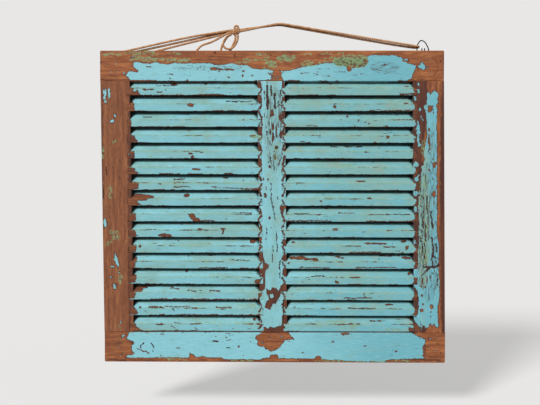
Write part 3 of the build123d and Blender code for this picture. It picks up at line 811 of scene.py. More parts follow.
LEFT_BAY_MARKS = Marks(
    painted=True,
    bare=LEFT_BAY_ENDS
    + split_joints(258.6, 261.6)
    + outline((196, 229.2), (199.6, 227.4), (203.2, 229), (199.4, 230.8))
    + outline((219.4, 228), (226.6, 228.2), (224.4, 230), (223.4, 234.4), (221.8, 234.2), (221.6, 230.2))
    + outline(
        (187.5, 213.4), (193, 213.1), (195.4, 217.7), (199.9, 218.3), (200.6, 220.1), (214.8, 220.1),
        (214.8, 221), (194.2, 221.7), (190.6, 218.2),
    )
    + patches(
        (141.5, 88.5, 148.2, 90.7), (148.8, 88.6, 154.2, 90.2), (156, 91.3, 162.7, 92.8),
        (164.5, 89.6, 167.5, 90.8), (170.5, 83.6, 177.5, 84.9), (204.5, 82.8, 207.5, 85.2),
        (187.5, 102.8, 193.6, 106.8), (249.3, 134.3, 256, 137.2), (184, 193.4, 190, 196.9),
        (188, 152.5, 193, 154.7), (191, 155.5, 194.4, 159.5), (158.5, 233.4, 171.8, 237),
        (248.7, 188.3, 261.5, 190.3), (221.5, 177, 228.7, 178.3), (139, 244.8, 141.2, 248.2),
        (249.3, 239.2, 256, 243.5), (259, 241.8, 263.3, 244.7), (258.4, 292.2, 262, 297),
        (139, 306.2, 142, 308.5), (253, 317.7, 256.6, 320.5), (254.8, 279, 260.4, 283.6),
        (207.5, 254.6, 216, 255.9), (185, 270.2, 188.8, 272), (156, 323, 165, 325),
        (192, 168, 201.5, 170.2), (157.9, 183.1, 161.5, 184.4),
    )
    + slits(1.7, (204.5, 94.8, 221.4, 94.8))
    + slits(1.3, (159, 174, 179.7, 174.2), (188, 174.3, 202.7, 174.4), (224.5, 173.8, 233, 173.9))
    + slits(
        1.1, (131, 95.3, 222, 95.3), (141, 189.9, 175, 189.9), (141, 205.9, 168.8, 205.9),
        (150.6, 299.2, 257, 299.2), (149.4, 315.2, 262, 315), (172, 127, 190, 127),
    )
    + slits(
        1.0, (173.6, 179, 184.5, 179), (173.6, 182.5, 184, 182.5), (173.6, 186.7, 190.6, 186.7),
        (148.2, 306.8, 191.2, 306.6), (175, 322, 180, 323.6), (216.6, 307.2, 231.2, 307.4),
    )
    + slits(
        0.9, (183.3, 158.8, 194.2, 158.7), (204, 205.8, 211, 205.7), (199, 267.7, 227.5, 267.7),
        (171, 288.6, 178.5, 288.6), (187, 290.6, 202, 290.6), (209.4, 290.6, 219.7, 290.6),
    )
    + slits(
        0.8, (171.2, 308, 174.2, 310.8), (143.3, 309.4, 147, 312.4), (170.6, 325.7, 177.2, 329.4),
        (194.8, 327.5, 199.7, 330.6), (211, 187, 261, 189.3),
    ),
    green=patches((147, 153.8, 153, 157.2), (252, 134, 262, 140))
    + slits(1.1, (241, 289.4, 255, 289.5), (238.4, 305, 257.2, 305.3), (196.6, 322, 250, 322.3))
    + slits(
        0.9, (157.9, 116.3, 177, 116.3), (168.8, 135.5, 222, 135.8), (150, 167, 175, 167.1),
        (217, 167, 241.5, 167.1), (200, 182.8, 235, 183), (240.9, 273.5, 258.4, 273.8),
        (150, 243.8, 156, 243.9), (162, 243.9, 172, 243.9), (181, 244, 186, 244), (198, 243.9, 220, 244),
        (148, 261, 153.6, 261), (179, 260.9, 187, 260.9), (198.4, 260.6, 207.5, 260.9),
        (181, 275.8, 199, 275.8), (204, 275.8, 222.7, 275.8),
    ),
    dark=slits(0.9, (157, 85.8, 176, 85.6), (226, 101.2, 252, 101.4), (143, 117, 152, 117.2))
    + slits(0.8, (232, 213, 252, 213.2), (146, 229, 156, 229.2), (230, 259.9, 250, 260.2)),
    flakes=outline((132.8, 91.6), (133.4, 88.8), (135.6, 88.4), (136.8, 90), (135.4, 91.9))
    + patches((127.6, 153.4, 129.8, 156), (131, 155.2, 132.8, 157.2)),
)

RIGHT_BAY_MARKS = Marks(
    painted=True,
    bare=RIGHT_BAY_ENDS
    + split_joints(284.9, 282.2)
    + outline(
        (287.4, 256.3), (302, 255.7), (308.5, 258.2), (317.4, 258.2), (318.4, 260.3), (316, 261.3),
        (311, 260), (290.6, 259.3),
    )
    + patches(
        (332.7, 105.5, 336.5, 108.4), (403.5, 102.3, 408, 104.6), (346.7, 115.7, 349.3, 118),
        (385, 125.4, 388.8, 127.6), (386.3, 134.8, 389.5, 139.1), (373.5, 141.8, 376.7, 143.8),
        (355.7, 180.4, 365.9, 182.1), (296, 183.2, 298, 184.6), (367.1, 197.4, 371, 199.7),
        (320, 200.2, 321.7, 202.5), (331.4, 228.5, 339, 230.1), (362.7, 231.4, 365.2, 232.9),
        (399.7, 239.8, 406.7, 242.7), (405.4, 245.5, 408.6, 250), (291.3, 241, 295, 242.7),
        (401.6, 256.3, 410.5, 259.2), (335.3, 276.6, 337.2, 278.9), (334.6, 281.3, 339, 283.2),
        (406.7, 272.1, 411.8, 275.1), (385.6, 303.6, 392.7, 305.7), (350.6, 300.4, 353.8, 301.6),
        (378.6, 300.8, 381.2, 302), (293.4, 306.4, 296.6, 307.6), (389.5, 284.8, 399.7, 286.6),
    )
    + slits(1.5, (400, 94.4, 414, 94.2))
    + slits(
        1.2, (364.6, 243.6, 386.3, 243.8), (383.7, 247, 395.2, 247.2), (339, 213.1, 354.4, 213.2),
        (330.8, 255.2, 344.2, 258.2), (379.9, 256, 392.7, 256.1),
    )
    + slits(
        1.0, (331.4, 95.4, 336.5, 95.4), (369.7, 110.8, 413, 110.4), (283, 221, 331.4, 220.9),
        (366, 221.4, 415, 221.4), (348, 252.4, 381, 252.2), (300, 267.4, 330, 267.9),
        (356, 267.8, 396, 267.5), (369.7, 321, 383.7, 321), (344, 298.2, 372, 298.1),
    )
    + slits(0.8, (362.7, 290.8, 364.6, 297.2), (306, 125, 318, 126.8), (300, 141.6, 312, 142.4)),
    green=patches(
        (334, 164.5, 354.4, 166.8), (311.8, 197, 352, 199.2), (305.3, 270.5, 311, 271.5),
        (327, 321.2, 344.2, 323.2), (296.4, 323.8, 304, 326.1), (290, 328.4, 302, 330.4),
        (349.3, 325.7, 358.2, 328), (385, 327.8, 401.6, 330.6),
    )
    + slits(1.0, (348, 151.7, 371, 151.6), (376, 151.8, 395.2, 151.7), (295.7, 290, 357, 290)),
    dark=slits(1.1, (311, 276.2, 325, 276.2), (348, 308.5, 369.7, 308.6), (294, 214, 310, 213.8))
    + slits(1.0, (330.2, 146.5, 336.5, 146.5), (344.2, 146.5, 362, 146.5), (385.6, 214.5, 410, 214.5)),
)


# Shader trees, written as sums on sockets

class Value:
    """A node's output that can be used in sums. A sum on it adds its Math nodes."""

    def __init__(self, tree: "Tree", socket: bpy.types.NodeSocket) -> None:
        """Wraps one output socket of a tree."""
        self.tree = tree
        self.socket = socket

    def __add__(self, other: "Value | float") -> "Value":
        """Their sum."""
        return self.tree.maths("ADD", self, other)

    def __sub__(self, other: "Value | float") -> "Value":
        """This less the other."""
        return self.tree.maths("SUBTRACT", self, other)

    def __rsub__(self, other: float) -> "Value":
        """The other less this."""
        return self.tree.maths("SUBTRACT", other, self)

    def __mul__(self, other: "Value | float") -> "Value":
        """Their product."""
        return self.tree.maths("MULTIPLY", self, other)

    __radd__ = __add__
    __rmul__ = __mul__

    def most(self, other: "Value | float") -> "Value":
        """The larger of the two."""
        return self.tree.maths("MAXIMUM", self, other)

    def step(self, start: float, end: float, low: float = 0.0, high: float = 1.0) -> "Value":
        """low below start, high over end, and a smooth step between."""
        inputs = {"Value": self, "From Min": start, "From Max": end, "To Min": low, "To Max": high}
        return self.tree.node("ShaderNodeMapRange", {"interpolation_type": "SMOOTHSTEP"}, inputs, "Result")


class Tree:
    """The nodes of a material or of the world."""

    def __init__(self, owner: bpy.types.Material | bpy.types.World) -> None:
        """Empties its owner's tree.

        Args:
            owner: the material or the world.
        """
        owner.use_nodes = True
        self.owner = owner
        self.nodes, self.links = owner.node_tree.nodes, owner.node_tree.links
        self.nodes.clear()

    def node(self, kind: str, settings: dict[str, Any], inputs: dict[str, Any], output: str) -> Value:
        """Adds a node.

        Args:
            kind: the node's type.
            settings: its own properties, set first.
            inputs: values or links, by the socket's name or identifier.
            output: the output to return, by name or identifier.

        Returns:
            That output.
        """
        made = self.nodes.new(kind)
        for name, value in settings.items():
            setattr(made, name, value)
        for name, value in inputs.items():
            socket = next(s for s in made.inputs if s.enabled and name in (s.identifier, s.name))
            if isinstance(value, Value):
                self.links.new(value.socket, socket)
            else:
                socket.default_value = value
        socket = next(s for s in made.outputs if s.enabled and output in (s.identifier, s.name))
        return Value(self, socket)

    def maths(self, operation: str, first: Value | float, second: Value | float) -> Value:
        """One Math node."""
        inputs = {"Value": first, "Value_001": second}
        return self.node("ShaderNodeMath", {"operation": operation}, inputs, "Value")

    def mix(self, low: Value | Colour, high: Value | Colour, factor: Value | float) -> Value:
        """The colour low where factor is 0 and high where it is 1."""
        inputs = {"Factor_Float": factor, "A_Color": low, "B_Color": high}
        return self.node("ShaderNodeMix", {"data_type": "RGBA"}, inputs, "Result_Color")

    def place(self, stretch: Sequence[float] = (1, 1, 1)) -> Value:
        """Object coordinates, in metres, multiplied by stretch."""
        inputs = {"Vector": self.node("ShaderNodeTexCoord", {}, {}, "Object"), "Vector_001": stretch}
        return self.node("ShaderNodeVectorMath", {"operation": "MULTIPLY"}, inputs, "Vector")

    def noise(self, place: Value, lump: float, detail: float, rough: float) -> Value:
        """Noise from 0 to 1 with lumps of the given size in mm."""
        inputs = {"Vector": place, "Scale": 1 / (lump * MM), "Detail": detail, "Roughness": rough}
        return self.node("ShaderNodeTexNoise", {}, inputs, "Fac")

    def field(self, name: str) -> Value:
        """A number kept on the piece's points."""
        return self.node("ShaderNodeAttribute", {"attribute_name": name}, {}, "Fac")

    def bump(self, height: Value) -> Value:
        """A normal from a height in mm."""
        return self.node("ShaderNodeBump", {}, {"Height": height, "Distance": MM}, "Normal")

    def blend(self, first: Value, second: Value, factor: Value | float) -> Value:
        """The first shader where factor is 0 and the second where it is 1."""
        inputs = {"Fac": factor, "Shader": first, "Shader_001": second}
        return self.node("ShaderNodeMixShader", {}, inputs, "Shader")

    def end(self, shader: Value) -> None:
        """Links a shader to the output of the material or the world."""
        kind = "World" if isinstance(self.owner, bpy.types.World) else "Material"
        self.links.new(shader.socket, self.nodes.new(f"ShaderNodeOutput{kind}").inputs["Surface"])

    def finish(self, **sockets: Any) -> bpy.types.Material:
        """Ends the tree in a Principled shader.

        Args:
            sockets: the shader's values or links, with _ for each space in their names.

        Returns:
            The material.
        """
        inputs = {name.replace("_", " "): value for name, value in sockets.items()}
        self.end(self.node("ShaderNodeBsdfPrincipled", {}, inputs, "BSDF"))
        return self.owner


class Grain(Enum):
    """Which way a timber's grain runs, as the stretch that makes noise long that way."""

    LEVEL = (0.1, 1.0, 1.0)
    UPRIGHT = (1.0, 1.0, 0.1)

    def lump(self, size: float, long: float) -> tuple[float, float, float]:
        """The size of a lump of noise along X, Y and Z that is long times longer along the grain."""
        return tuple(size * long if part < 1 else size for part in self.value)


@dataclass(frozen=True)
class FlakingPaint:
    """Thick old gloss paint that flakes off reddish timber, with traces of an older green coat.

    Attributes:
        blue: the paint where it is clean.
        shaded_blue: the paint painted darker and bluer as shade, towards the right of the panel and on the
            slats' fronts.
        sea: the paint where it has turned greener.
        chalk: the paint's pale bloom.
        tan: thin streaks where the paint is nearly worn through.
        wood: the bare timber.
        wood_light: its lighter streaks.
        wood_dark: its dark streaks, and the rim beside the paint, which is painted shadow and dirt.
        green: the older coat.
        green_dark: the older coat's stains, and the painted shadow and dirt just inside the paint's edge.
        split: the bottoms of cracks.
        recess_dark: the near black of the painted shade and dirt deep between the slats and on the stiles'
            inner faces.
        net: the size of the pieces that crazed paint is broken into, in mm.
        hair: how close its hairlines lie, in mm.
        streak: the width of streaks in paint and wood, in mm.
        fibre: the width of the wood's fibres, in mm.
        band: the width of the wood's light and dark bands, in mm.
        blotch: the size of the places where the paint's colour changes, in mm.
        rag: the size of the teeth at its torn edges, in mm.
        fleck: the size of the older coat's specks, in mm.
        film: how thick the paint is, in mm.
        gape: how deep a crack is, in mm.
        dull: the bare wood's roughness.
        gloss: how much less the paint's is.
    """

    blue: Colour = tone(134, 198, 209)
    shaded_blue: Colour = tone(108, 177, 190)
    sea: Colour = tone(127, 173, 166)
    chalk: Colour = tone(168, 212, 212)
    tan: Colour = tone(152, 142, 112)
    wood: Colour = tone(150, 87, 50)
    wood_light: Colour = tone(190, 123, 73)
    wood_dark: Colour = tone(66, 34, 28)
    green: Colour = tone(132, 163, 117)
    green_dark: Colour = tone(86, 66, 38)
    split: Colour = tone(58, 30, 24)
    recess_dark: Colour = tone(20, 18, 15)
    net: float = 2.6
    hair: float = 1.5
    streak: float = 2.2
    fibre: float = 0.9
    band: float = 6.0
    blotch: float = 26.0
    rag: float = 3.4
    fleck: float = 3.2
    film: float = 0.34
    gape: float = 0.7
    dull: float = 0.74
    gloss: float = 0.2

    def material(self, name: str, grain: Grain) -> bpy.types.Material:
        """Makes the finish for timbers whose grain runs one way.

        Args:
            name: the material's name.
            grain: which way the grain runs.

        Returns:
            The material.
        """
        tree = Tree(bpy.data.materials.new(name))
        flat, long = tree.place(), tree.place(grain.value)
        streaks = tree.noise(long, self.streak, 3.0, 0.6)
        fibres = tree.noise(long, self.fibre, 2.0, 0.6)
        blotches = tree.noise(flat, self.blotch, 3.0, 0.6)
        ragged = tree.noise(flat, self.rag, 4.0, 0.65)
        bands = tree.noise(long, self.band, 2.0, 0.5)
        paint, green, dark = tree.field("paint"), tree.field("green"), tree.field("dark")
        edge = paint + (ragged - 0.5) * 5.5 + (streaks - 0.5) * 2.6
        mask = edge.step(-0.12, 0.12)
        crackle = self.cracks(tree, long, ragged)
        flecks = tree.noise(tree.place([(1 + part) / 2 for part in grain.value]), self.fleck, 3.0, 0.7)
        specks = (green * 0.25 + (flecks - 0.54) * 16.0 + (fibres - 0.5) * 8.0).step(-0.6, 0.9)
        deep = (dark + (streaks - 0.5) * 0.8).step(-0.35, 0.25)
        colour = self.coat(tree, streaks, blotches, crackle)
        under = self.timber(tree, streaks, fibres, bands)
        # Painted shadow and dirt: a dark rim along the paint's edge, on the wood beside it and on the paint
        # just inside
        under = tree.mix(under, self.wood_dark, edge.step(-2.8, -0.2) * 0.8)
        rim = edge.step(0.0, 0.8, 1.0, 0.0) * mask
        colour = tree.mix(colour, self.green_dark, rim * 0.35)
        both = tree.mix(under, colour, mask)
        stain = tree.mix(self.green_dark, self.green, (fibres * 0.5 + flecks * 0.5).step(0.42, 0.54))
        both = tree.mix(both, stain, specks * green.step(-2.5, 0.0) * 0.85)
        both = tree.mix(both, self.split, deep * 0.9)
        # Painted shade and dirt: near black deep in the louvres and on the stiles' inner faces
        both = tree.mix(both, self.recess_dark, tree.field("painted_shade_and_dirt") * (0.8 + blotches * 0.35))
        relief = mask * self.film + streaks * 0.16 + fibres * (0.34 - mask * 0.24)
        height = relief - deep * self.gape - crackle * 0.12
        return tree.finish(
            Base_Color=both,
            Roughness=self.dull - mask * self.gloss + deep * 0.1,
            Normal=tree.bump(height),
            Specular_IOR_Level=0.35,
        )

    def cracks(self, tree: Tree, long: Value, ragged: Value) -> Value:
        """Cracks the paint: a few hairlines anywhere, and a broken net in crazed places.

        Args:
            tree: the finish's tree.
            long: places, stretched along the grain.
            ragged: noise that breaks the net.

        Returns:
            1 in a crack and 0 beside it.
        """
        craze = tree.field("craze")
        hairs = tree.noise(long, self.hair, 1.0, 0.5).step(0.71, 0.77) * 0.7
        inputs = {"Vector": long, "Scale": 1 / (self.net * MM), "Randomness": 1.0}
        net = tree.node("ShaderNodeTexVoronoi", {"feature": "DISTANCE_TO_EDGE"}, inputs, "Distance")
        broken = (ragged + craze * 0.3).step(0.6, 0.74)
        return hairs.most(net.step(0.1, 0.03) * broken * craze.step(0.0, 0.3))

    def coat(self, tree: Tree, streaks: Value, blotches: Value, crackle: Value) -> Value:
        """Colours the paint, with its greener places, pale bloom, thin streaks and fine cracks.

        Args:
            tree: the finish's tree.
            streaks: noise along the grain.
            blotches: noise in large lumps.
            crackle: 1 in a crack of the paint.

        Returns:
            The colour.
        """
        hue = tree.field("hue")
        # Painted shade: darker, bluer paint towards the right and on the slats' fronts
        colour = tree.mix(self.blue, self.shaded_blue, tree.field("blue_shading"))
        colour = tree.mix(colour, self.sea, (hue + (blotches - 0.5) * 0.9).step(0.0, 1.0))
        colour = tree.mix(colour, self.chalk, streaks.step(0.5, 0.72) * 0.4)
        colour = tree.mix(colour, self.sea, streaks.step(0.48, 0.3) * 0.55)
        thin = (streaks * 0.6 + blotches * 0.4 + hue * 0.1).step(0.6, 0.72)
        colour = tree.mix(colour, self.tan, thin * 0.45)
        return tree.mix(colour, self.wood_dark, crackle * 0.65)

    def timber(self, tree: Tree, streaks: Value, fibres: Value, bands: Value) -> Value:
        """Colours the bare wood, with light and dark streaks.

        Args:
            tree: the finish's tree.
            streaks: noise along the grain.
            fibres: finer noise along the grain.
            bands: broader noise along the grain.

        Returns:
            The colour.
        """
        colour = tree.mix(self.wood, self.wood_light, (streaks * 0.4 + bands * 0.6).step(0.48, 0.64) * 0.75)
        colour = tree.mix(colour, self.wood_dark, (streaks * 0.5 + bands * 0.5).step(0.48, 0.3) * 0.5)
        colour = tree.mix(colour, self.wood_dark, fibres.step(0.5, 0.3) * 0.5)
        return tree.mix(colour, self.wood_dark, tree.field("shade") * 0.93)


@dataclass(frozen=True)
class WornMetal:
    """Metal that has lost its shine.

    Attributes:
        clean: the metal's colour.
        worn: what covers it in patches.
        cover: how much of it is covered, from 0 to 1.
        metallic: how far it still looks like bare metal.
        roughness: where it is clean.
        shine: how strongly it mirrors where it doesn't look like metal.
    """

    clean: Colour
    worn: Colour
    cover: float = 0.5
    metallic: float = 0.8
    roughness: float = 0.45
    shine: float = 0.5

    def material(self, name: str) -> bpy.types.Material:
        """Makes the finish.

        Args:
            name: the material's name.

        Returns:
            The material.
        """
        tree = Tree(bpy.data.materials.new(name))
        patchy = tree.noise(tree.place(), 2.4, 4.0, 0.6)
        fine = tree.noise(tree.place(), 0.5, 2.0, 0.6)
        worn = (patchy * 0.7 + fine * 0.3).step(0.62 - self.cover * 0.3, 0.7 - self.cover * 0.3)
        return tree.finish(
            Base_Color=tree.mix(self.clean, self.worn, worn),
            Metallic=self.metallic * (1 - worn * 0.7) if self.metallic else 0.0,
            Roughness=self.roughness + worn * 0.3,
            Normal=tree.bump(fine * 0.06 + worn * 0.04),
            Specular_IOR_Level=self.shine,
        )


@dataclass(frozen=True)
class JuteFibre:
    """Pale brown jute, with darker strands and a matt surface."""

    pale: Colour = tone(214, 170, 128)
    brown: Colour = tone(156, 108, 70)

    def material(self, name: str) -> bpy.types.Material:
        """Makes the finish.

        Args:
            name: the material's name.

        Returns:
            The material.
        """
        tree = Tree(bpy.data.materials.new(name))
        strands = tree.noise(tree.place(), 0.7, 3.0, 0.7)
        stretches = tree.noise(tree.place(), 9.0, 2.0, 0.5)
        colour = tree.mix(self.brown, self.pale, (strands * 0.7 + stretches * 0.3).step(0.38, 0.6))
        return tree.finish(
            Base_Color=colour, Roughness=0.95, Normal=tree.bump(strands * 0.3), Specular_IOR_Level=0.1
        )


# Timbers

@dataclass
class Timber:
    """A rail, stile or slat: the CAD timber, cut into a fine net that carries its wear.

    Attributes:
        node: the CAD node that it dresses.
        marks: what is drawn on its front.
        grain: which way its grain runs.
        cell_x: size of the net's coarse cells across, in mm.
        cell_z: the same upwards.
        cuts: cuts through each coarse cell that is seen from the front.
        hue: how green its paint has turned, from 0 to 1.
        shade: how dark its bare wood is, from 0 to 1.
        edge_wear: how far its long edges have worn in, in mm.
        weld: how near two of the CAD's corners are for them to be one, in mm.
        flat: the angle under which two of its faces are one, in degrees.
        seen_depth: how far behind its front a face may lie and be seen, in mm.
        rim: how far the paint is gone round a crack, in mm.
        kept: how far inside the paint the sides that no mark tells about lie, in mm.
    """

    node: str
    marks: Marks
    grain: Grain
    cell_x: float = 7.0
    cell_z: float = 7.0
    cuts: int = 2
    hue: float = 0.2
    shade: float = 0.0
    edge_wear: float = 0.35
    weld: float = 0.001
    flat: float = 0.3
    seen_depth: float = 20.0
    rim: float = 0.6
    kept: float = 2.1

    def net(self) -> bmesh.types.BMesh:
        """Copies the CAD mesh and cuts it into cells.

        Returns:
            The cut mesh.
        """
        net = bmesh.new()
        net.from_mesh(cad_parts[self.node].data)
        bmesh.ops.remove_doubles(net, verts=net.verts, dist=self.weld * MM)
        bmesh.ops.dissolve_limit(net, angle_limit=math.radians(self.flat), verts=net.verts, edges=net.edges)
        low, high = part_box(self.node)
        for axis, cell in ((0, self.cell_x), (2, self.cell_z)):
            count = round((high[axis] - low[axis]) / (cell * MM))
            for index in range(1, count):
                place = low.copy()
                place[axis] += (high[axis] - low[axis]) * index / count
                across = Vector((axis == 0, 0, axis == 2))
                whole = net.verts[:] + net.edges[:] + net.faces[:]
                near = self.weld / 10 * MM
                bmesh.ops.bisect_plane(net, geom=whole, dist=near, plane_co=place, plane_no=across)
        seen = [face for face in net.faces if self.is_seen(face)]
        edges = list({edge for face in seen for edge in face.edges})
        bmesh.ops.subdivide_edges(net, edges=edges, cuts=self.cuts, use_grid_fill=True)
        return net

    def is_seen(self, face: bmesh.types.BMFace) -> bool:
        """Whether a face looks to the front and isn't inside a joint."""
        return face.normal.y < -0.5 and face.calc_center_median().y < FRONT + self.seen_depth * MM

    def grained(self, points: np.ndarray, size: float, long: float, seed: int) -> np.ndarray:
        """Noise whose lumps are size mm across and long times longer along the grain."""
        return noise(points, self.grain.lump(size, long), seed)

    def fields(self, points: np.ndarray, normals: np.ndarray, view: Viewpoint) -> dict[str, np.ndarray]:
        """Works out the wear at each point.

        Args:
            points: places in metres.
            normals: the surface's direction at each.
            view: where the marks were read from.

        Returns:
            Distances in mm for paint, green and dark, which are over 0 inside, and the other numbers.
        """
        seen = view.pixels(points) + self.waver(points)
        marks = self.marks
        # The marks, a layer at a time, each over those before it
        paint = np.maximum(FAR if marks.painted else -FAR, self.depth(marks.coat, seen) * MM_PER_PIXEL)
        paint = np.minimum(paint, -self.depth(marks.bare, seen) * MM_PER_PIXEL)
        green = np.maximum(-FAR, self.depth(marks.green, seen) * MM_PER_PIXEL)
        crack = self.depth(marks.dark, seen) * MM_PER_PIXEL
        paint = np.minimum(paint, self.rim - crack)
        torn = np.maximum(self.grained(points, 2.6, 1.6, 28), 0) * 3.0
        paint = np.maximum(paint, self.depth(marks.flakes, seen) * MM_PER_PIXEL - torn)
        # Sides that no mark tells about are worn anywhere, and small specks are gone all over
        away = ease(normals[:, 1], -0.1, 0.4)
        aged = self.grained(points, 9.0, 5, 21) * 0.6 + self.grained(points, 3.0, 5, 22) * 0.4
        paint = paint * (1 - away) + (aged * FAR + self.kept) * away
        specks = self.grained(points, 2.6, 3, 23) * 0.7 + noise(points, (30, 30, 30), 24) * 0.3
        paint = np.minimum(paint, (0.62 - specks) * 9)
        # Colours
        hue = self.hue + self.grained(points, 14.0, 4, 25) * 0.4 + away * 0.3
        shade = self.shade + self.grained(points, 12.0, 6, 26) * 0.25
        # Painted shade: the paint darker and bluer towards the right, where the light falls off
        to_the_right = ease(points[:, 0] + noise(points, (60, 60, 60), 27) * 0.05, 0.0, 0.25)
        return {
            "craze": ease(self.depth(marks.craze, seen), -1.0, 6.0) * (1 - away),
            "blue_shading": to_the_right * (1 - away),
            "paint": np.clip(paint, -FAR, FAR),
            "green": green * (1 - away) - FAR * away,
            "dark": np.maximum(-FAR, crack) * (1 - away) - FAR * away,
            "hue": hue + ease(self.depth(marks.fade, seen), -1.0, 3.0) * 0.9,
            "shade": np.clip(shade + ease(self.depth(marks.stain, seen), -0.5, 0.9) * 0.8, 0, 1),
            # painted shade and dirt in the recesses
            "painted_shade_and_dirt": self.painted_shade_and_dirt(points),
        }

    def depth(self, layer: Sequence[Mark], seen: np.ndarray) -> np.ndarray:
        """How far each seen place is inside a layer's marks.

        Args:
            layer: the marks, of which those near the places count.
            seen: the places' pixels.

        Returns:
            For each place the depth in pixels: below 0 outside, and minus infinity if no mark is near.
        """
        low, high = seen.min(axis=0) - NEAR, seen.max(axis=0) + NEAR
        deepest = np.full(len(seen), -np.inf)
        for mark in layer:
            span = mark.span()
            if (span.max(axis=0) > low).all() and (span.min(axis=0) < high).all():
                deepest = np.maximum(deepest, -mark.distance(seen))
        return deepest

    def waver(self, points: np.ndarray) -> np.ndarray:
        """Pushes the marks about, so that their edges are ragged.

        Args:
            points: places in metres.

        Returns:
            How far across and down at each, in pixels.
        """
        fine = (2.4, 2.4, 2.4)
        across = self.grained(points, 5.0, 1.8, 1) * 0.9 + noise(points, fine, 2) * 0.6
        down = self.grained(points, 5.0, 1.8, 3) * 0.7 + noise(points, fine, 4) * 0.5
        return np.stack([across, down], axis=1)

    def painted_shade_and_dirt(self, points: np.ndarray) -> np.ndarray:
        """How dark the painted shade and dirt are at each point, from 0 to 1: none on the frame's faces."""
        return np.zeros(len(points))

    def wear(self, points: np.ndarray, normals: np.ndarray) -> np.ndarray:
        """Moves the points a little, so that faces aren't flat and edges aren't straight.

        Args:
            points: places in metres.
            normals: the surface's direction at each.

        Returns:
            The new places.
        """
        dents = self.grained(points, 16.0, 3, 31) * 0.22 + self.grained(points, 5.0, 3, 32) * 0.12
        corner = 1 - np.abs(normals).max(axis=1)
        bite = ease(self.grained(points, 7.0, 2, 33), 0.1, 0.9) * ease(corner, 0.1, 0.25)
        push = dents * ease(np.abs(normals[:, 1]), 0.3, 0.9) - bite * self.edge_wear
        return points + normals * (push * MM)[:, None]

    def build(self, view: Viewpoint, material: bpy.types.Material, slot: str) -> bpy.types.Object:
        """Makes the finished timber.

        Args:
            view: where the marks were read from.
            material: its finish.
            slot: the record's slot for that finish; not used.

        Returns:
            The timber's object.
        """
        net = self.net()
        mesh = bpy.data.meshes.new(self.node)
        net.to_mesh(mesh)
        net.free()
        points, normals = (np.empty(len(mesh.vertices) * 3) for _ in range(2))
        mesh.vertices.foreach_get("co", points)
        mesh.vertex_normals.foreach_get("vector", normals)
        points, normals = points.reshape(-1, 3), normals.reshape(-1, 3)
        for name, values in self.fields(points, normals, view).items():
            kept = mesh.attributes.new(name, "FLOAT", "POINT")
            kept.data.foreach_set("value", values.astype(np.float32))
        mesh.vertices.foreach_set("co", self.wear(points, normals).ravel())
        piece = add_piece(self.node, "worn", mesh, material)
        mesh.set_sharp_from_angle(angle=SMOOTH_BELOW)
        return piece


@dataclass
class Slat(Timber):
    """A louvre slat, worn along its front edges, and darkened towards its hidden back edge by painted shade
    and dirt.

    Attributes:
        nose: the height of its front face, in mm.
        housed: how far its ends go into the stiles, in mm.
        sheltered: where the slat above it begins to shade it, and the painted shade begins, in mm from its
            front.
        darkest: where the painted shade and dirt are darkest, in mm from its front.
    """

    cell_x: float = 9.6
    cell_z: float = 5.0
    edge_wear: float = 0.8
    nose: float = 16.97
    housed: float = 8.0
    sheltered: float = 11.0
    darkest: float = 17.5

    def fields(self, points: np.ndarray, normals: np.ndarray, view: Viewpoint) -> dict[str, np.ndarray]:
        """Works out the wear at each point: a timber's, and what a slat's own edges add.

        Args:
            points: places in metres.
            normals: the surface's direction at each.
            view: where the marks were read from.

        Returns:
            The numbers that a timber has.
        """
        made = super().fields(points, normals, view)
        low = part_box(self.node)[0].z
        # Greener up on the right and at the arris. The slope is painted greener and the front darker and
        # bluer, as painted light and shade for how the light falls on these two faces of one paint
        made["hue"] += ease(points[:, 0], -0.02, 0.06) * ease(points[:, 2], 0.2, 0.5) * 0.15
        made["hue"] += ease(points[:, 1], FRONT + 0.2 * MM, FRONT + 3 * MM) * 0.1
        made["blue_shading"] += ease(-points[:, 1], -FRONT - 1 * MM, -FRONT) * 0.4
        arris = np.abs(points[:, 2] - low - self.nose * MM) + np.abs(points[:, 1] - FRONT)
        made["hue"] += ease(-arris, -4 * MM, 0.0) * 0.5
        # That arris is rubbed through in places, more so low down, and the older coat shows beside it
        rubbed = noise(points, (45, 9, 9), 41) * 0.8 + noise(points, (9, 9, 9), 42) * 0.5
        worn = 2.6 + ease(-points[:, 2], -0.3, -0.1) * 1.3
        made["paint"] = np.minimum(made["paint"], arris / MM - rubbed * worn)
        made["green"] = np.maximum(made["green"], np.minimum(0.8 - arris / MM, made["paint"] + 2.5))
        # Chips along the lower edge
        lower = np.abs(points[:, 2] - low) / MM + ease(points[:, 1], FRONT + 1 * MM, FRONT + 2 * MM) * FAR
        chipped = noise(points, (60, 9, 9), 43) * 0.7 + noise(points, (8, 8, 8), 44) * 0.6
        made["paint"] = np.minimum(made["paint"], lower - chipped * 1.9)
        return made

    def painted_shade_and_dirt(self, points: np.ndarray) -> np.ndarray:
        """Paints shade and dirt where the slat above shades it, and painted shadow in the corners beside the
        stiles.

        Args:
            points: places in metres.

        Returns:
            How dark it is at each, from 0 to 1.
        """
        low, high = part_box(self.node)
        depth = points[:, 1] - FRONT
        away = np.minimum(points[:, 0] - low.x, high.x - points[:, 0]) - self.housed * MM
        away = np.maximum(away + noise(points, (4, 4, 4), 45) * 1.6 * MM, 0)
        # Painted shadow that the stiles throw on the slat's ends, wider deeper in
        corner = ease(depth - away * 1.1, 0.5 * MM, 4 * MM) * 0.96
        # Painted shade and dirt under the slat above, darker deeper in
        return np.maximum(ease(depth, self.sheltered * MM, self.darkest * MM) * 0.95, corner)


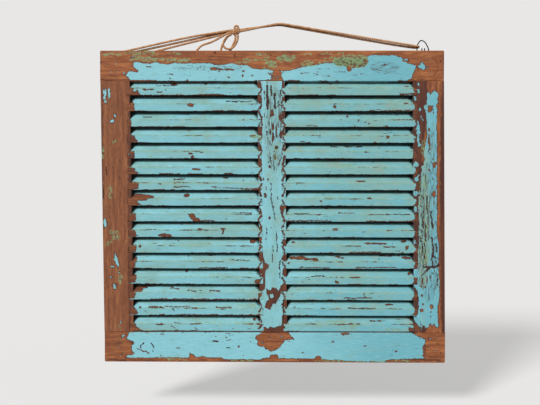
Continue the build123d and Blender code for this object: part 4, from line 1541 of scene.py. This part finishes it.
@dataclass
class Stile(Timber):
    """An upright of the frame, darkened with painted shade and dirt on the inside faces of its louvre bays.

    Attributes:
        shoulder: from its ends to where no rail covers it, in mm.
        clean: how far behind its front the painted shade and dirt begin, in mm.
        darkest: where the painted shade and dirt are darkest, in mm from its front.
    """

    shoulder: float = 60.0
    clean: float = 2.0
    darkest: float = 14.0

    def painted_shade_and_dirt(self, points: np.ndarray) -> np.ndarray:
        """Paints shade and dirt behind the front edge, in the bays.

        Args:
            points: places in metres.

        Returns:
            How dark it is at each, from 0 to 1.
        """
        low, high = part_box(self.node)
        reach = self.shoulder * MM
        inside = (points[:, 2] > low.z + reach) & (points[:, 2] < high.z - reach)
        depth = (points[:, 1] - FRONT) * inside * (points[:, 1] < BACK - 1 * MM)
        # Painted shade and dirt on the bays' inner faces, darker deeper in
        return ease(depth, self.clean * MM, self.darkest * MM) * 0.85


@dataclass
class TimberFrame:
    """The two rails, the three stiles and the slats of both bays."""

    slats: int = 16

    def build(self, view: Viewpoint) -> list[bpy.types.Object]:
        """Makes every timber.

        Args:
            view: where the marks were read from.

        Returns:
            The timbers' objects.
        """
        level = FlakingPaint().material("painted_level", Grain.LEVEL)
        upright = FlakingPaint(net=3.4).material("painted_upright", Grain.UPRIGHT)
        faded = FlakingPaint(wood=tone(136, 82, 51), wood_light=tone(166, 106, 68))
        bare = faded.material("bare_upright", Grain.UPRIGHT)
        timbers = [
            (Timber("top_rail", TOP_RAIL_MARKS, Grain.LEVEL, hue=0.0), level),
            (Timber("bottom_rail", BOTTOM_RAIL_MARKS, Grain.LEVEL, hue=0.0, shade=0.09), level),
            (Stile("left_stile", LEFT_STILE_MARKS, Grain.UPRIGHT, hue=0.3), bare),
            (Stile("centre_stile", CENTRE_STILE_MARKS, Grain.UPRIGHT, hue=0.4), upright),
            (Stile("right_stile", RIGHT_STILE_MARKS, Grain.UPRIGHT, hue=0.2, shade=0.15), upright),
        ]
        for bay, marks in (("left", LEFT_BAY_MARKS), ("right", RIGHT_BAY_MARKS)):
            for number in range(1, self.slats + 1):
                slat = Slat(f"slat_{bay}_{number:02d}", marks, Grain.LEVEL, hue=0.37, shade=0.6)
                timbers.append((slat, level))
        slots = {level: "painted_timber", upright: "painted_timber", bare: "bare_timber"}
        return [timber.build(view, material, slots[material]) for timber, material in timbers]


# Hardware

@dataclass
class Hardware:
    """The nails, and the two wire hangers with their washers and screws, which keep their CAD shapes."""

    nails: WornMetal = WornMetal(tone(150, 140, 128), tone(104, 62, 40), cover=0.55, metallic=0.5)
    wire: WornMetal = WornMetal(
        tone(9, 9, 11), tone(28, 22, 20), cover=0.2, metallic=0.0, roughness=0.7, shine=0.05
    )
    fixings: WornMetal = WornMetal(tone(134, 128, 118), tone(96, 70, 52), cover=0.45, metallic=0.9)

    def dress(self) -> None:
        """Gives each fastener and wire its finish."""
        finishes = {
            "joint_nails": self.nails.material("rusty_nails"),
            "hanger_wire_left": self.wire.material("black_wire_left"),
            "hanger_wire_right": self.wire.material("black_wire_right"),
            "hanger_washers": self.fixings.material("dull_washers"),
            "hanger_screws": self.fixings.material("dull_screws"),
        }
        for node, material in finishes.items():
            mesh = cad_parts[node].data
            mesh.materials.clear()
            mesh.materials.append(material)
            log.info("%s: finish %s", node, material.name)


# Twine

@dataclass(frozen=True)
class Hanging:
    """Where the twine runs, as the CAD has it: its layers, its knot and the wires that it goes round.

    Attributes:
        layer_gap: between the two layers of twine, front to back, in mm.
        round_gap: from the middle of a wire to the middle of the twine round it, in mm.
        knot: the knot's middle across and over the top of the frame, in mm.
        knot_size: the knot's length and thickness, in mm.
        slope: the slope of the knot's strands, in degrees.
        lead: how far a strand leaves the knot straight, in mm.
        wire: the radius of the hangers' wire, in mm.
    """

    layer_gap: float = 4.8
    round_gap: float = 3.5
    knot: Pair = (-90.0, 48.5)
    knot_size: Pair = (20.0, 14.0)
    slope: float = 11.0
    lead: float = 8.0
    wire: float = 1.2

    @property
    def middle(self) -> float:
        """Y of the hanger loops' wire, in metres."""
        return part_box("hanger_wire_right")[1].y - self.wire * MM

    @property
    def along(self) -> Vector:
        """The way that the strands run through the knot."""
        return Vector((math.cos(math.radians(self.slope)), 0, math.sin(math.radians(self.slope))))

    @property
    def across(self) -> Vector:
        """The way up through the knot."""
        return Vector((-self.along.z, 0, self.along.x))

    @property
    def heart(self) -> Vector:
        """The knot's middle, in metres."""
        return self.over(self.knot[0], 0.0, self.knot[1])

    def over(self, x: float, back: float, height: float) -> Vector:
        """A place, from mm across, mm behind the wires' middle and mm over the top of the frame."""
        return Vector((x * MM, self.middle + back * MM, TOP + height * MM))

    def through(self, back: float, *places: Pair) -> list[Vector]:
        """Places in one layer, each from mm across and mm over the top of the frame."""
        return [self.over(x, back, height) for x, height in places]

    def knot_end(self, side: int, back: float, level: float) -> list[Vector]:
        """Leads a strand out of an end of the knot.

        Args:
            side: -1 for the left end and 1 for the right one.
            back: how far behind the knot's middle, in mm.
            level: how far over it, in mm.

        Returns:
            The strand's first two points.
        """
        start = self.heart + self.along * (side * self.knot_size[0] / 2 * MM) + self.across * level * MM
        start.y += back * MM
        return [start, start + self.along * (side * self.lead * MM)]

    def knot_bottom(self, along: float) -> list[Vector]:
        """The first two points of a strand that leaves the knot's underside."""
        start = self.heart + self.along * along * MM - self.across * (self.knot_size[1] / 2 * MM)
        return [start, start - self.across * self.lead * MM]

    def round_wire(self, x: float, side: int, height: float, fall: float, reach: float) -> list[Vector]:
        """From before a loop's wire to behind it, round its far side.

        Args:
            x: the wire's place across, in mm.
            side: 1 where the twine comes from the left, and -1 where it comes from the right.
            height: of the turn's middle over the top of the frame, in mm.
            fall: from the turn's start to its end, in mm.
            reach: from the wire's middle to the points past it, in mm.

        Returns:
            Four points.
        """
        near, far = x - side * self.lead, x + side * reach
        gap = self.round_gap
        return [
            self.over(near, -gap, height + fall * 0.5),
            self.over(far, -gap, height + fall * 0.25),
            self.over(far, gap, height - fall * 0.25),
            self.over(near, gap, height - fall * 0.5),
        ]


class FarEnd(Enum):
    """What a strand ends in."""

    KNOT = "knot"
    BARE = "bare"


class Lay(Enum):
    """How a strand lies."""

    TAUT = "taut"
    HANGING = "hanging"


@dataclass
class Strand:
    """One run of three-ply twine.

    Attributes:
        node: the CAD node that it replaces, or a name for a strand inside the knot.
        route: the points that steer its line, in metres.
        far_end: what it ends in; not used.
        lay: how it lies; not used.
        thickness: the twine's diameter, in mm.
        plies: how many yarns are laid up in it.
        ply: the radius of one yarn, in mm.
        lay_radius: from the twine's middle to a yarn's, in mm.
        turn: the length of one turn of the lay, in mm.
        fuzz_every: one stray fibre for each of these mm.
        fibre: the radius of a stray fibre, in mm.
        fibre_reach: how far the shortest and the longest fibre stand out, in mm.
        fibre_lean: how far a fibre may lean along the twine, in mm.
        spacing: between the places that a yarn is steered by, in mm.
        smoothness: points of the line for each point of the route.
    """

    node: str
    route: list[Vector]
    far_end: FarEnd = FarEnd.KNOT
    lay: Lay = Lay.TAUT
    thickness: float = 4.0
    plies: int = 3
    ply: float = 1.3
    lay_radius: float = 1.36
    turn: float = 13.0
    fuzz_every: float = 3.0
    fibre: float = 0.09
    fibre_reach: Pair = (0.4, 1.9)
    fibre_lean: float = 3.0
    spacing: float = 1.1
    smoothness: int = 24

    def line(self) -> list[Vector]:
        """Finds the smooth line that the route steers.

        Returns:
            Close points on it, in metres.
        """
        curve = bpy.data.curves.new(f"{self.node}_line", "CURVE")
        curve.dimensions = "3D"
        spline = add_spline(curve, "NURBS", self.route)
        spline.order_u = 3
        spline.use_endpoint_u = True
        spline.resolution_u = self.smoothness
        mesh = take_mesh(curve)
        points = [vertex.co.copy() for vertex in mesh.vertices]
        bpy.data.meshes.remove(mesh)
        return points

    def frames(self) -> list[tuple[Vector, Vector, Vector]]:
        """Finds evenly spaced places along the line.

        Returns:
            The places, and for each its two directions, which turn with the line and don't twist.
        """
        points = self.line()
        travelled = np.cumsum([0.0] + [(b - a).length for a, b in zip(points, points[1:])])
        wanted = np.linspace(0, travelled[-1], max(8, int(travelled[-1] / (self.spacing * MM))))
        coordinates = np.array(points)
        even = np.stack([np.interp(wanted, travelled, coordinates[:, axis]) for axis in range(3)], axis=1)
        places = [Vector(row) for row in even]
        made = []
        side = Vector((0, 1, 0))
        for index, place in enumerate(places):
            ahead = places[min(index + 1, len(places) - 1)] - places[max(index - 1, 0)]
            ahead.normalize()
            side = (side - ahead * side.dot(ahead)).normalized()
            made.append((place, side, ahead.cross(side)))
        return made

    def yarns(self, chance: np.random.Generator) -> bpy.types.Mesh:
        """Lays up the twine's yarns, and adds stray fibres.

        Args:
            chance: where the fibres' places come from.

        Returns:
            The mesh of all of them.
        """
        frames = self.frames()
        lay = self.lay_radius * MM
        step = self.spacing / self.turn * math.tau
        paths = []
        for yarn in range(self.plies):
            start = math.tau * yarn / self.plies
            angles = [start + index * step for index in range(len(frames))]
            paths.append([
                place + (side * math.cos(angle) + up * math.sin(angle)) * lay
                for (place, side, up), angle in zip(frames, angles)
            ])
        twine = self.tube(paths, self.ply)
        fibres = []
        for _ in range(int(len(frames) * self.spacing / self.fuzz_every)):
            place, side, up = frames[int(chance.integers(1, len(frames) - 1))]
            angle = chance.uniform(0, math.tau)
            out = side * math.cos(angle) + up * math.sin(angle)
            ahead = side.cross(up) * chance.uniform(-self.fibre_lean, self.fibre_lean) * MM
            reach = chance.uniform(*self.fibre_reach) * MM
            root = place + out * self.thickness / 2 * 0.8 * MM
            fibres.append([root, root + out * reach * 0.5 + ahead * 0.6, root + out * reach + ahead])
        join(twine, [self.tube(fibres, self.fibre)])
        return twine

    def tube(self, paths: list[list[Vector]], radius: float) -> bpy.types.Mesh:
        """One mesh of closed tubes that follow the paths.

        Args:
            paths: the tubes' middle lines, in metres.
            radius: in mm.

        Returns:
            The mesh.
        """
        curve = bpy.data.curves.new("yarn", "CURVE")
        curve.dimensions = "3D"
        curve.bevel_depth = radius * MM
        curve.bevel_resolution = 1
        curve.use_fill_caps = True
        for path in paths:
            add_spline(curve, "POLY", path)
        return take_mesh(curve)

    def build(self, material: bpy.types.Material, chance: np.random.Generator) -> bpy.types.Object:
        """Makes the finished strand.

        Args:
            material: its finish.
            chance: where its fibres' places come from.

        Returns:
            The strand's object.
        """
        return add_piece(self.node, "laid", self.yarns(chance), material)

    def declare(self, piece: bpy.types.Object, others: Sequence[bpy.types.Object]) -> None:
        """Works out the strand's line, and keeps nothing of it.

        Args:
            piece: the strand's object; not used.
            others: the pieces on it; not used.
        """
        points = self.line()
        self.thickness * MM


@dataclass
class Twine:
    """The twine that the panel hangs by: a knot, the pairs to both loops, and the loose ends.

    Attributes:
        hanging: where it all runs.
        left_screw: the left hanger's screw, across and over the top of the frame, in mm.
        right_screw: the same of the right one.
        loop_side: half a loop's width at its foot, in mm.
        loop_top_side: the same at its top.
        apex: where the twine hangs on its support, across and over the top of the frame, in mm.
        pitch: between the strands that leave the knot's left end, in mm.
        back_drop: how much lower the back layer passes over the support, in mm.
        straight: how far from its support a taut run is steered straight, in mm.
        wound: radii of the turns round the knot, upwards and from front to back, in mm.
    """

    hanging: Hanging = Hanging()
    left_screw: Pair = (-371.6, -38.0)
    right_screw: Pair = (335.4, -12.0)
    loop_side: float = 13.3
    loop_top_side: float = 5.0
    apex: Pair = (10.8, 66.4)
    pitch: float = 4.4
    back_drop: float = 2.4
    straight: float = 24.0
    wound: Pair = (5.4, 4.6)

    def routes(self) -> list[Strand]:
        """Routes every strand as in the CAD, with a few points moved or added to follow the photo.

        Returns:
            The strands.
        """
        run = self.hanging
        front, back = -run.layer_gap / 2, run.layer_gap / 2
        right_leg = self.right_screw[0] - self.loop_side
        left_leg = self.left_screw[0] + self.loop_side
        left_shoulder = self.left_screw[0] + (self.loop_side + self.loop_top_side) / 2
        fall = 54.0 / 311.0  # of the runs that slope down from the support to the right loop
        rise = 17.0 / 91.0  # of the runs that slope up from the knot to the support
        before, after = self.apex[0] - self.straight, self.apex[0] + self.straight
        back_top = self.apex[1] - self.back_drop
        return [
            Strand("twine_right_pair", [
                *run.knot_end(1, front, -self.pitch / 2),
                run.over(before, front, self.apex[1] - self.straight * rise),
                run.over(self.apex[0], front, self.apex[1]),
                run.over(after, front, self.apex[1] - self.straight * fall),
                *run.round_wire(right_leg, 1, 13.4, 4.0, run.round_gap),
                run.over(235.0, back + 0.5, 24.0),
                run.over(after, back, back_top - self.straight * 0.2),
                run.over(self.apex[0], back, back_top),
                run.over(before, back, back_top - self.straight * 0.12),
                *reversed(run.knot_end(1, back, self.pitch / 2)),
            ]),
            Strand("twine_left_pair", [
                *run.knot_end(-1, front, self.pitch),
                run.over(-195.0, front, 36.4),
                *run.round_wire(left_shoulder, -1, -2.25, 5.0, run.round_gap * 1.24),
                run.over(-195.0, back, 29.2),
                *reversed(run.knot_end(-1, back, self.pitch)),
            ]),
            Strand("twine_left_single", [
                *run.knot_end(-1, back, 0),
                *reversed(run.round_wire(left_leg, -1, -14.0, 2.0, run.round_gap)),
                *run.through(-run.round_gap, (left_leg + 20.0, -24.0), (left_leg + 34.0, -36.0)),
            ], FarEnd.BARE),
            Strand("twine_tail", [
                *run.knot_end(-1, front, 0),
                *run.through(front, (-129.0, 32.0), (-150.0, 21.8), (-165.0, 18.5), (-177.0, 8.0)),
                run.over(-184.0, front, -4.0),
            ], FarEnd.BARE, Lay.HANGING),
            Strand("twine_bow", [
                *run.knot_end(-1, front, -self.pitch),
                *run.through(front, (-117.0, 27.0), (-119.5, 17.0), (-113.0, 9.5), (-103.5, 8.0)),
                run.over(-94.5, front, 12.5),
                run.over(-88.0, front + 0.6, 22.5),
                *reversed(run.knot_bottom(3.0)),
            ], FarEnd.KNOT, Lay.HANGING),
            Strand("twine_end_left", [
                *run.knot_end(-1, back, -self.pitch),
                *run.through(back, (-119.0, 22.0), (-123.8, 8.5), (-125.0, -4.0)),
            ], FarEnd.BARE, Lay.HANGING),
            Strand("twine_end_right", [
                *run.knot_bottom(-2.5),
                run.over(-96.0, 2.0, 18.0),
                *run.through(back, (-102.5, 6.5), (-106.0, -5.0)),
            ], FarEnd.BARE, Lay.HANGING),
        ]

    def knot_route(self) -> list[Vector]:
        """Winds the twine round the strands in the knot.

        Returns:
            The points that steer it, in metres.
        """
        run = self.hanging
        turns, steps, length = 3, 8, run.knot_size[0] - 5.0
        high, deep = (radius * MM for radius in self.wound)
        points = []
        for index in range(turns * steps + 1):
            angle = math.tau * index / steps
            along = (index / (turns * steps) - 0.5) * length
            turned = run.across * (high * math.cos(angle)) + Vector((0, deep * math.sin(angle), 0))
            points.append(run.heart + run.along * along * MM + turned)
        return points

    def build(self, chance: np.random.Generator) -> list[bpy.types.Object]:
        """Args:
            chance: where the fibres' places come from.

        Returns:
            Their objects.
        """
        material = JuteFibre().material("jute")
        knot = Strand("twine_knot", self.knot_route(), turn=11.0).build(material, chance)
        self.fill_knot(knot, chance)
        made = [knot]
        for strand in self.routes():
            piece = strand.build(material, chance)
            strand.declare(piece, [knot] if strand.node == "twine_right_pair" else [])
            made.append(piece)
        return made

    def fill_knot(self, knot: bpy.types.Object, chance: np.random.Generator) -> None:
        """Adds the strands that run through the knot, and the small loop that stands up from it.

        Args:
            knot: the knot's object.
            chance: where the fibres' places come from.
        """
        run = self.hanging
        half = run.along * (run.knot_size[0] / 2 * MM)
        strands = []
        for back, level in ((-1.9, -1.9), (1.9, -1.9), (-1.9, 2.1), (1.9, 2.1)):
            middle = run.heart + run.across * level * MM + Vector((0, back * MM, 0))
            strands.append(Strand("core", [middle - half, middle, middle + half]))
        loop = [(1.0, 4.0), (-1.5, 8.0), (1.0, 12.5), (6.5, 12.0), (8.0, 8.0), (5.5, 3.0)]
        route = [run.heart + run.along * x * MM + run.across * z * MM for x, z in loop]
        strands.append(Strand("loop", route))
        join(knot.data, [strand.yarns(chance) for strand in strands])
        smooth(knot.data)


# Studio

@dataclass
class Studio:
    """A plain pale floor and background, one soft light from the upper left, and an even fill.

    Attributes:
        sun: the light's strength.
        sun_angle: how soft its shadows are, in degrees.
        towards: the direction to the light.
        fill: the strength of the light from all round.
        pale: the background's colour.
        floor_height: where the floor lies, in metres.
        floor_size: half the floor's width, in metres.
        floor_dull: the floor's colour as the object is lit by it.
        floor_bright: its colour as the camera sees it.
        floor_own: how much of what the camera sees of it is its own glow, from 0 to 1.
        floor_glow: how bright that glow is, so that the floor meets the background unseen.
    """

    sun: float = 3.2
    sun_angle: float = 14.0
    towards: tuple[float, float, float] = (-0.433, -0.75, 0.5)
    fill: float = 0.25
    pale: Colour = tone(232, 231, 230)
    floor_height: float = -0.12
    floor_size: float = 40.0
    floor_dull: Colour = tone(150, 150, 150)
    floor_bright: Colour = tone(250, 249, 248)
    floor_own: float = 0.45
    floor_glow: float = 1.126

    def light(self) -> None:
        """Makes the sun."""
        data = bpy.data.lights.new("sun", "SUN")
        data.energy = self.sun
        data.angle = math.radians(self.sun_angle)
        lamp = add_object("sun", data)
        lamp.matrix_world = Vector(self.towards).to_track_quat("Z", "Y").to_matrix().to_4x4()

    def surround(self) -> None:
        """Makes the world: pale to the camera and in reflections, and an even fill on the object."""
        tree = Tree(bpy.data.worlds.new("studio"))
        rays = ("Is Camera Ray", "Is Glossy Ray", "Is Transmission Ray")
        camera, glossy, through = (tree.node("ShaderNodeLightPath", {}, {}, ray) for ray in rays)
        inputs = {"Color": (1, 1, 1, 1), "Strength": self.fill}
        even = tree.node("ShaderNodeBackground", {}, inputs, "Background")
        pale = tree.node("ShaderNodeBackground", {}, {"Color": self.pale}, "Background")
        tree.end(tree.blend(even, pale, camera.most(glossy).most(through)))
        bpy.context.scene.world = tree.owner

    def floor(self) -> None:
        """Makes the floor, which stays pale to the camera and throws little light back up."""
        shape = bmesh.new()
        bmesh.ops.create_grid(shape, x_segments=1, y_segments=1, size=self.floor_size)
        bmesh.ops.translate(shape, verts=shape.verts, vec=(0, 0, self.floor_height))
        mesh = bpy.data.meshes.new("floor")
        shape.to_mesh(mesh)
        shape.free()
        tree = Tree(bpy.data.materials.new("floor"))
        seen = tree.node("ShaderNodeLightPath", {}, {}, "Is Camera Ray")
        dull = tree.node("ShaderNodeBsdfDiffuse", {}, {"Color": self.floor_dull}, "BSDF")
        bright = tree.node("ShaderNodeBsdfDiffuse", {}, {"Color": self.floor_bright}, "BSDF")
        inputs = {"Color": self.pale, "Strength": self.floor_glow}
        glow = tree.node("ShaderNodeEmission", {}, inputs, "Emission")
        tree.end(tree.blend(dull, tree.blend(bright, glow, self.floor_own), seen))
        mesh.materials.append(tree.owner)
        floor = add_object("floor", mesh)
        floor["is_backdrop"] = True

    def build(self) -> None:
        """Makes the light, the world and the floor."""
        bpy.context.scene.view_settings.view_transform = "Standard"
        self.light()
        self.surround()
        self.floor()


def main() -> None:
    """Builds the whole scene, in order, and writes how large it is."""
    logging.basicConfig(level=logging.INFO, format="%(message)s")
    view = Viewpoint()
    view.make_camera()
    pieces = Twine().build(np.random.default_rng(SEED)) + TimberFrame().build(view)
    log.info("%d pieces are newly made", len(pieces))
    Hardware().dress()
    Studio().build()
    meshes = [piece.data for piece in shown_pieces() if piece.type == "MESH"]
    log.info("%d triangles in all", sum(len(face.vertices) - 2 for mesh in meshes for face in mesh.polygons))


if __name__ == "__main__":
    main()
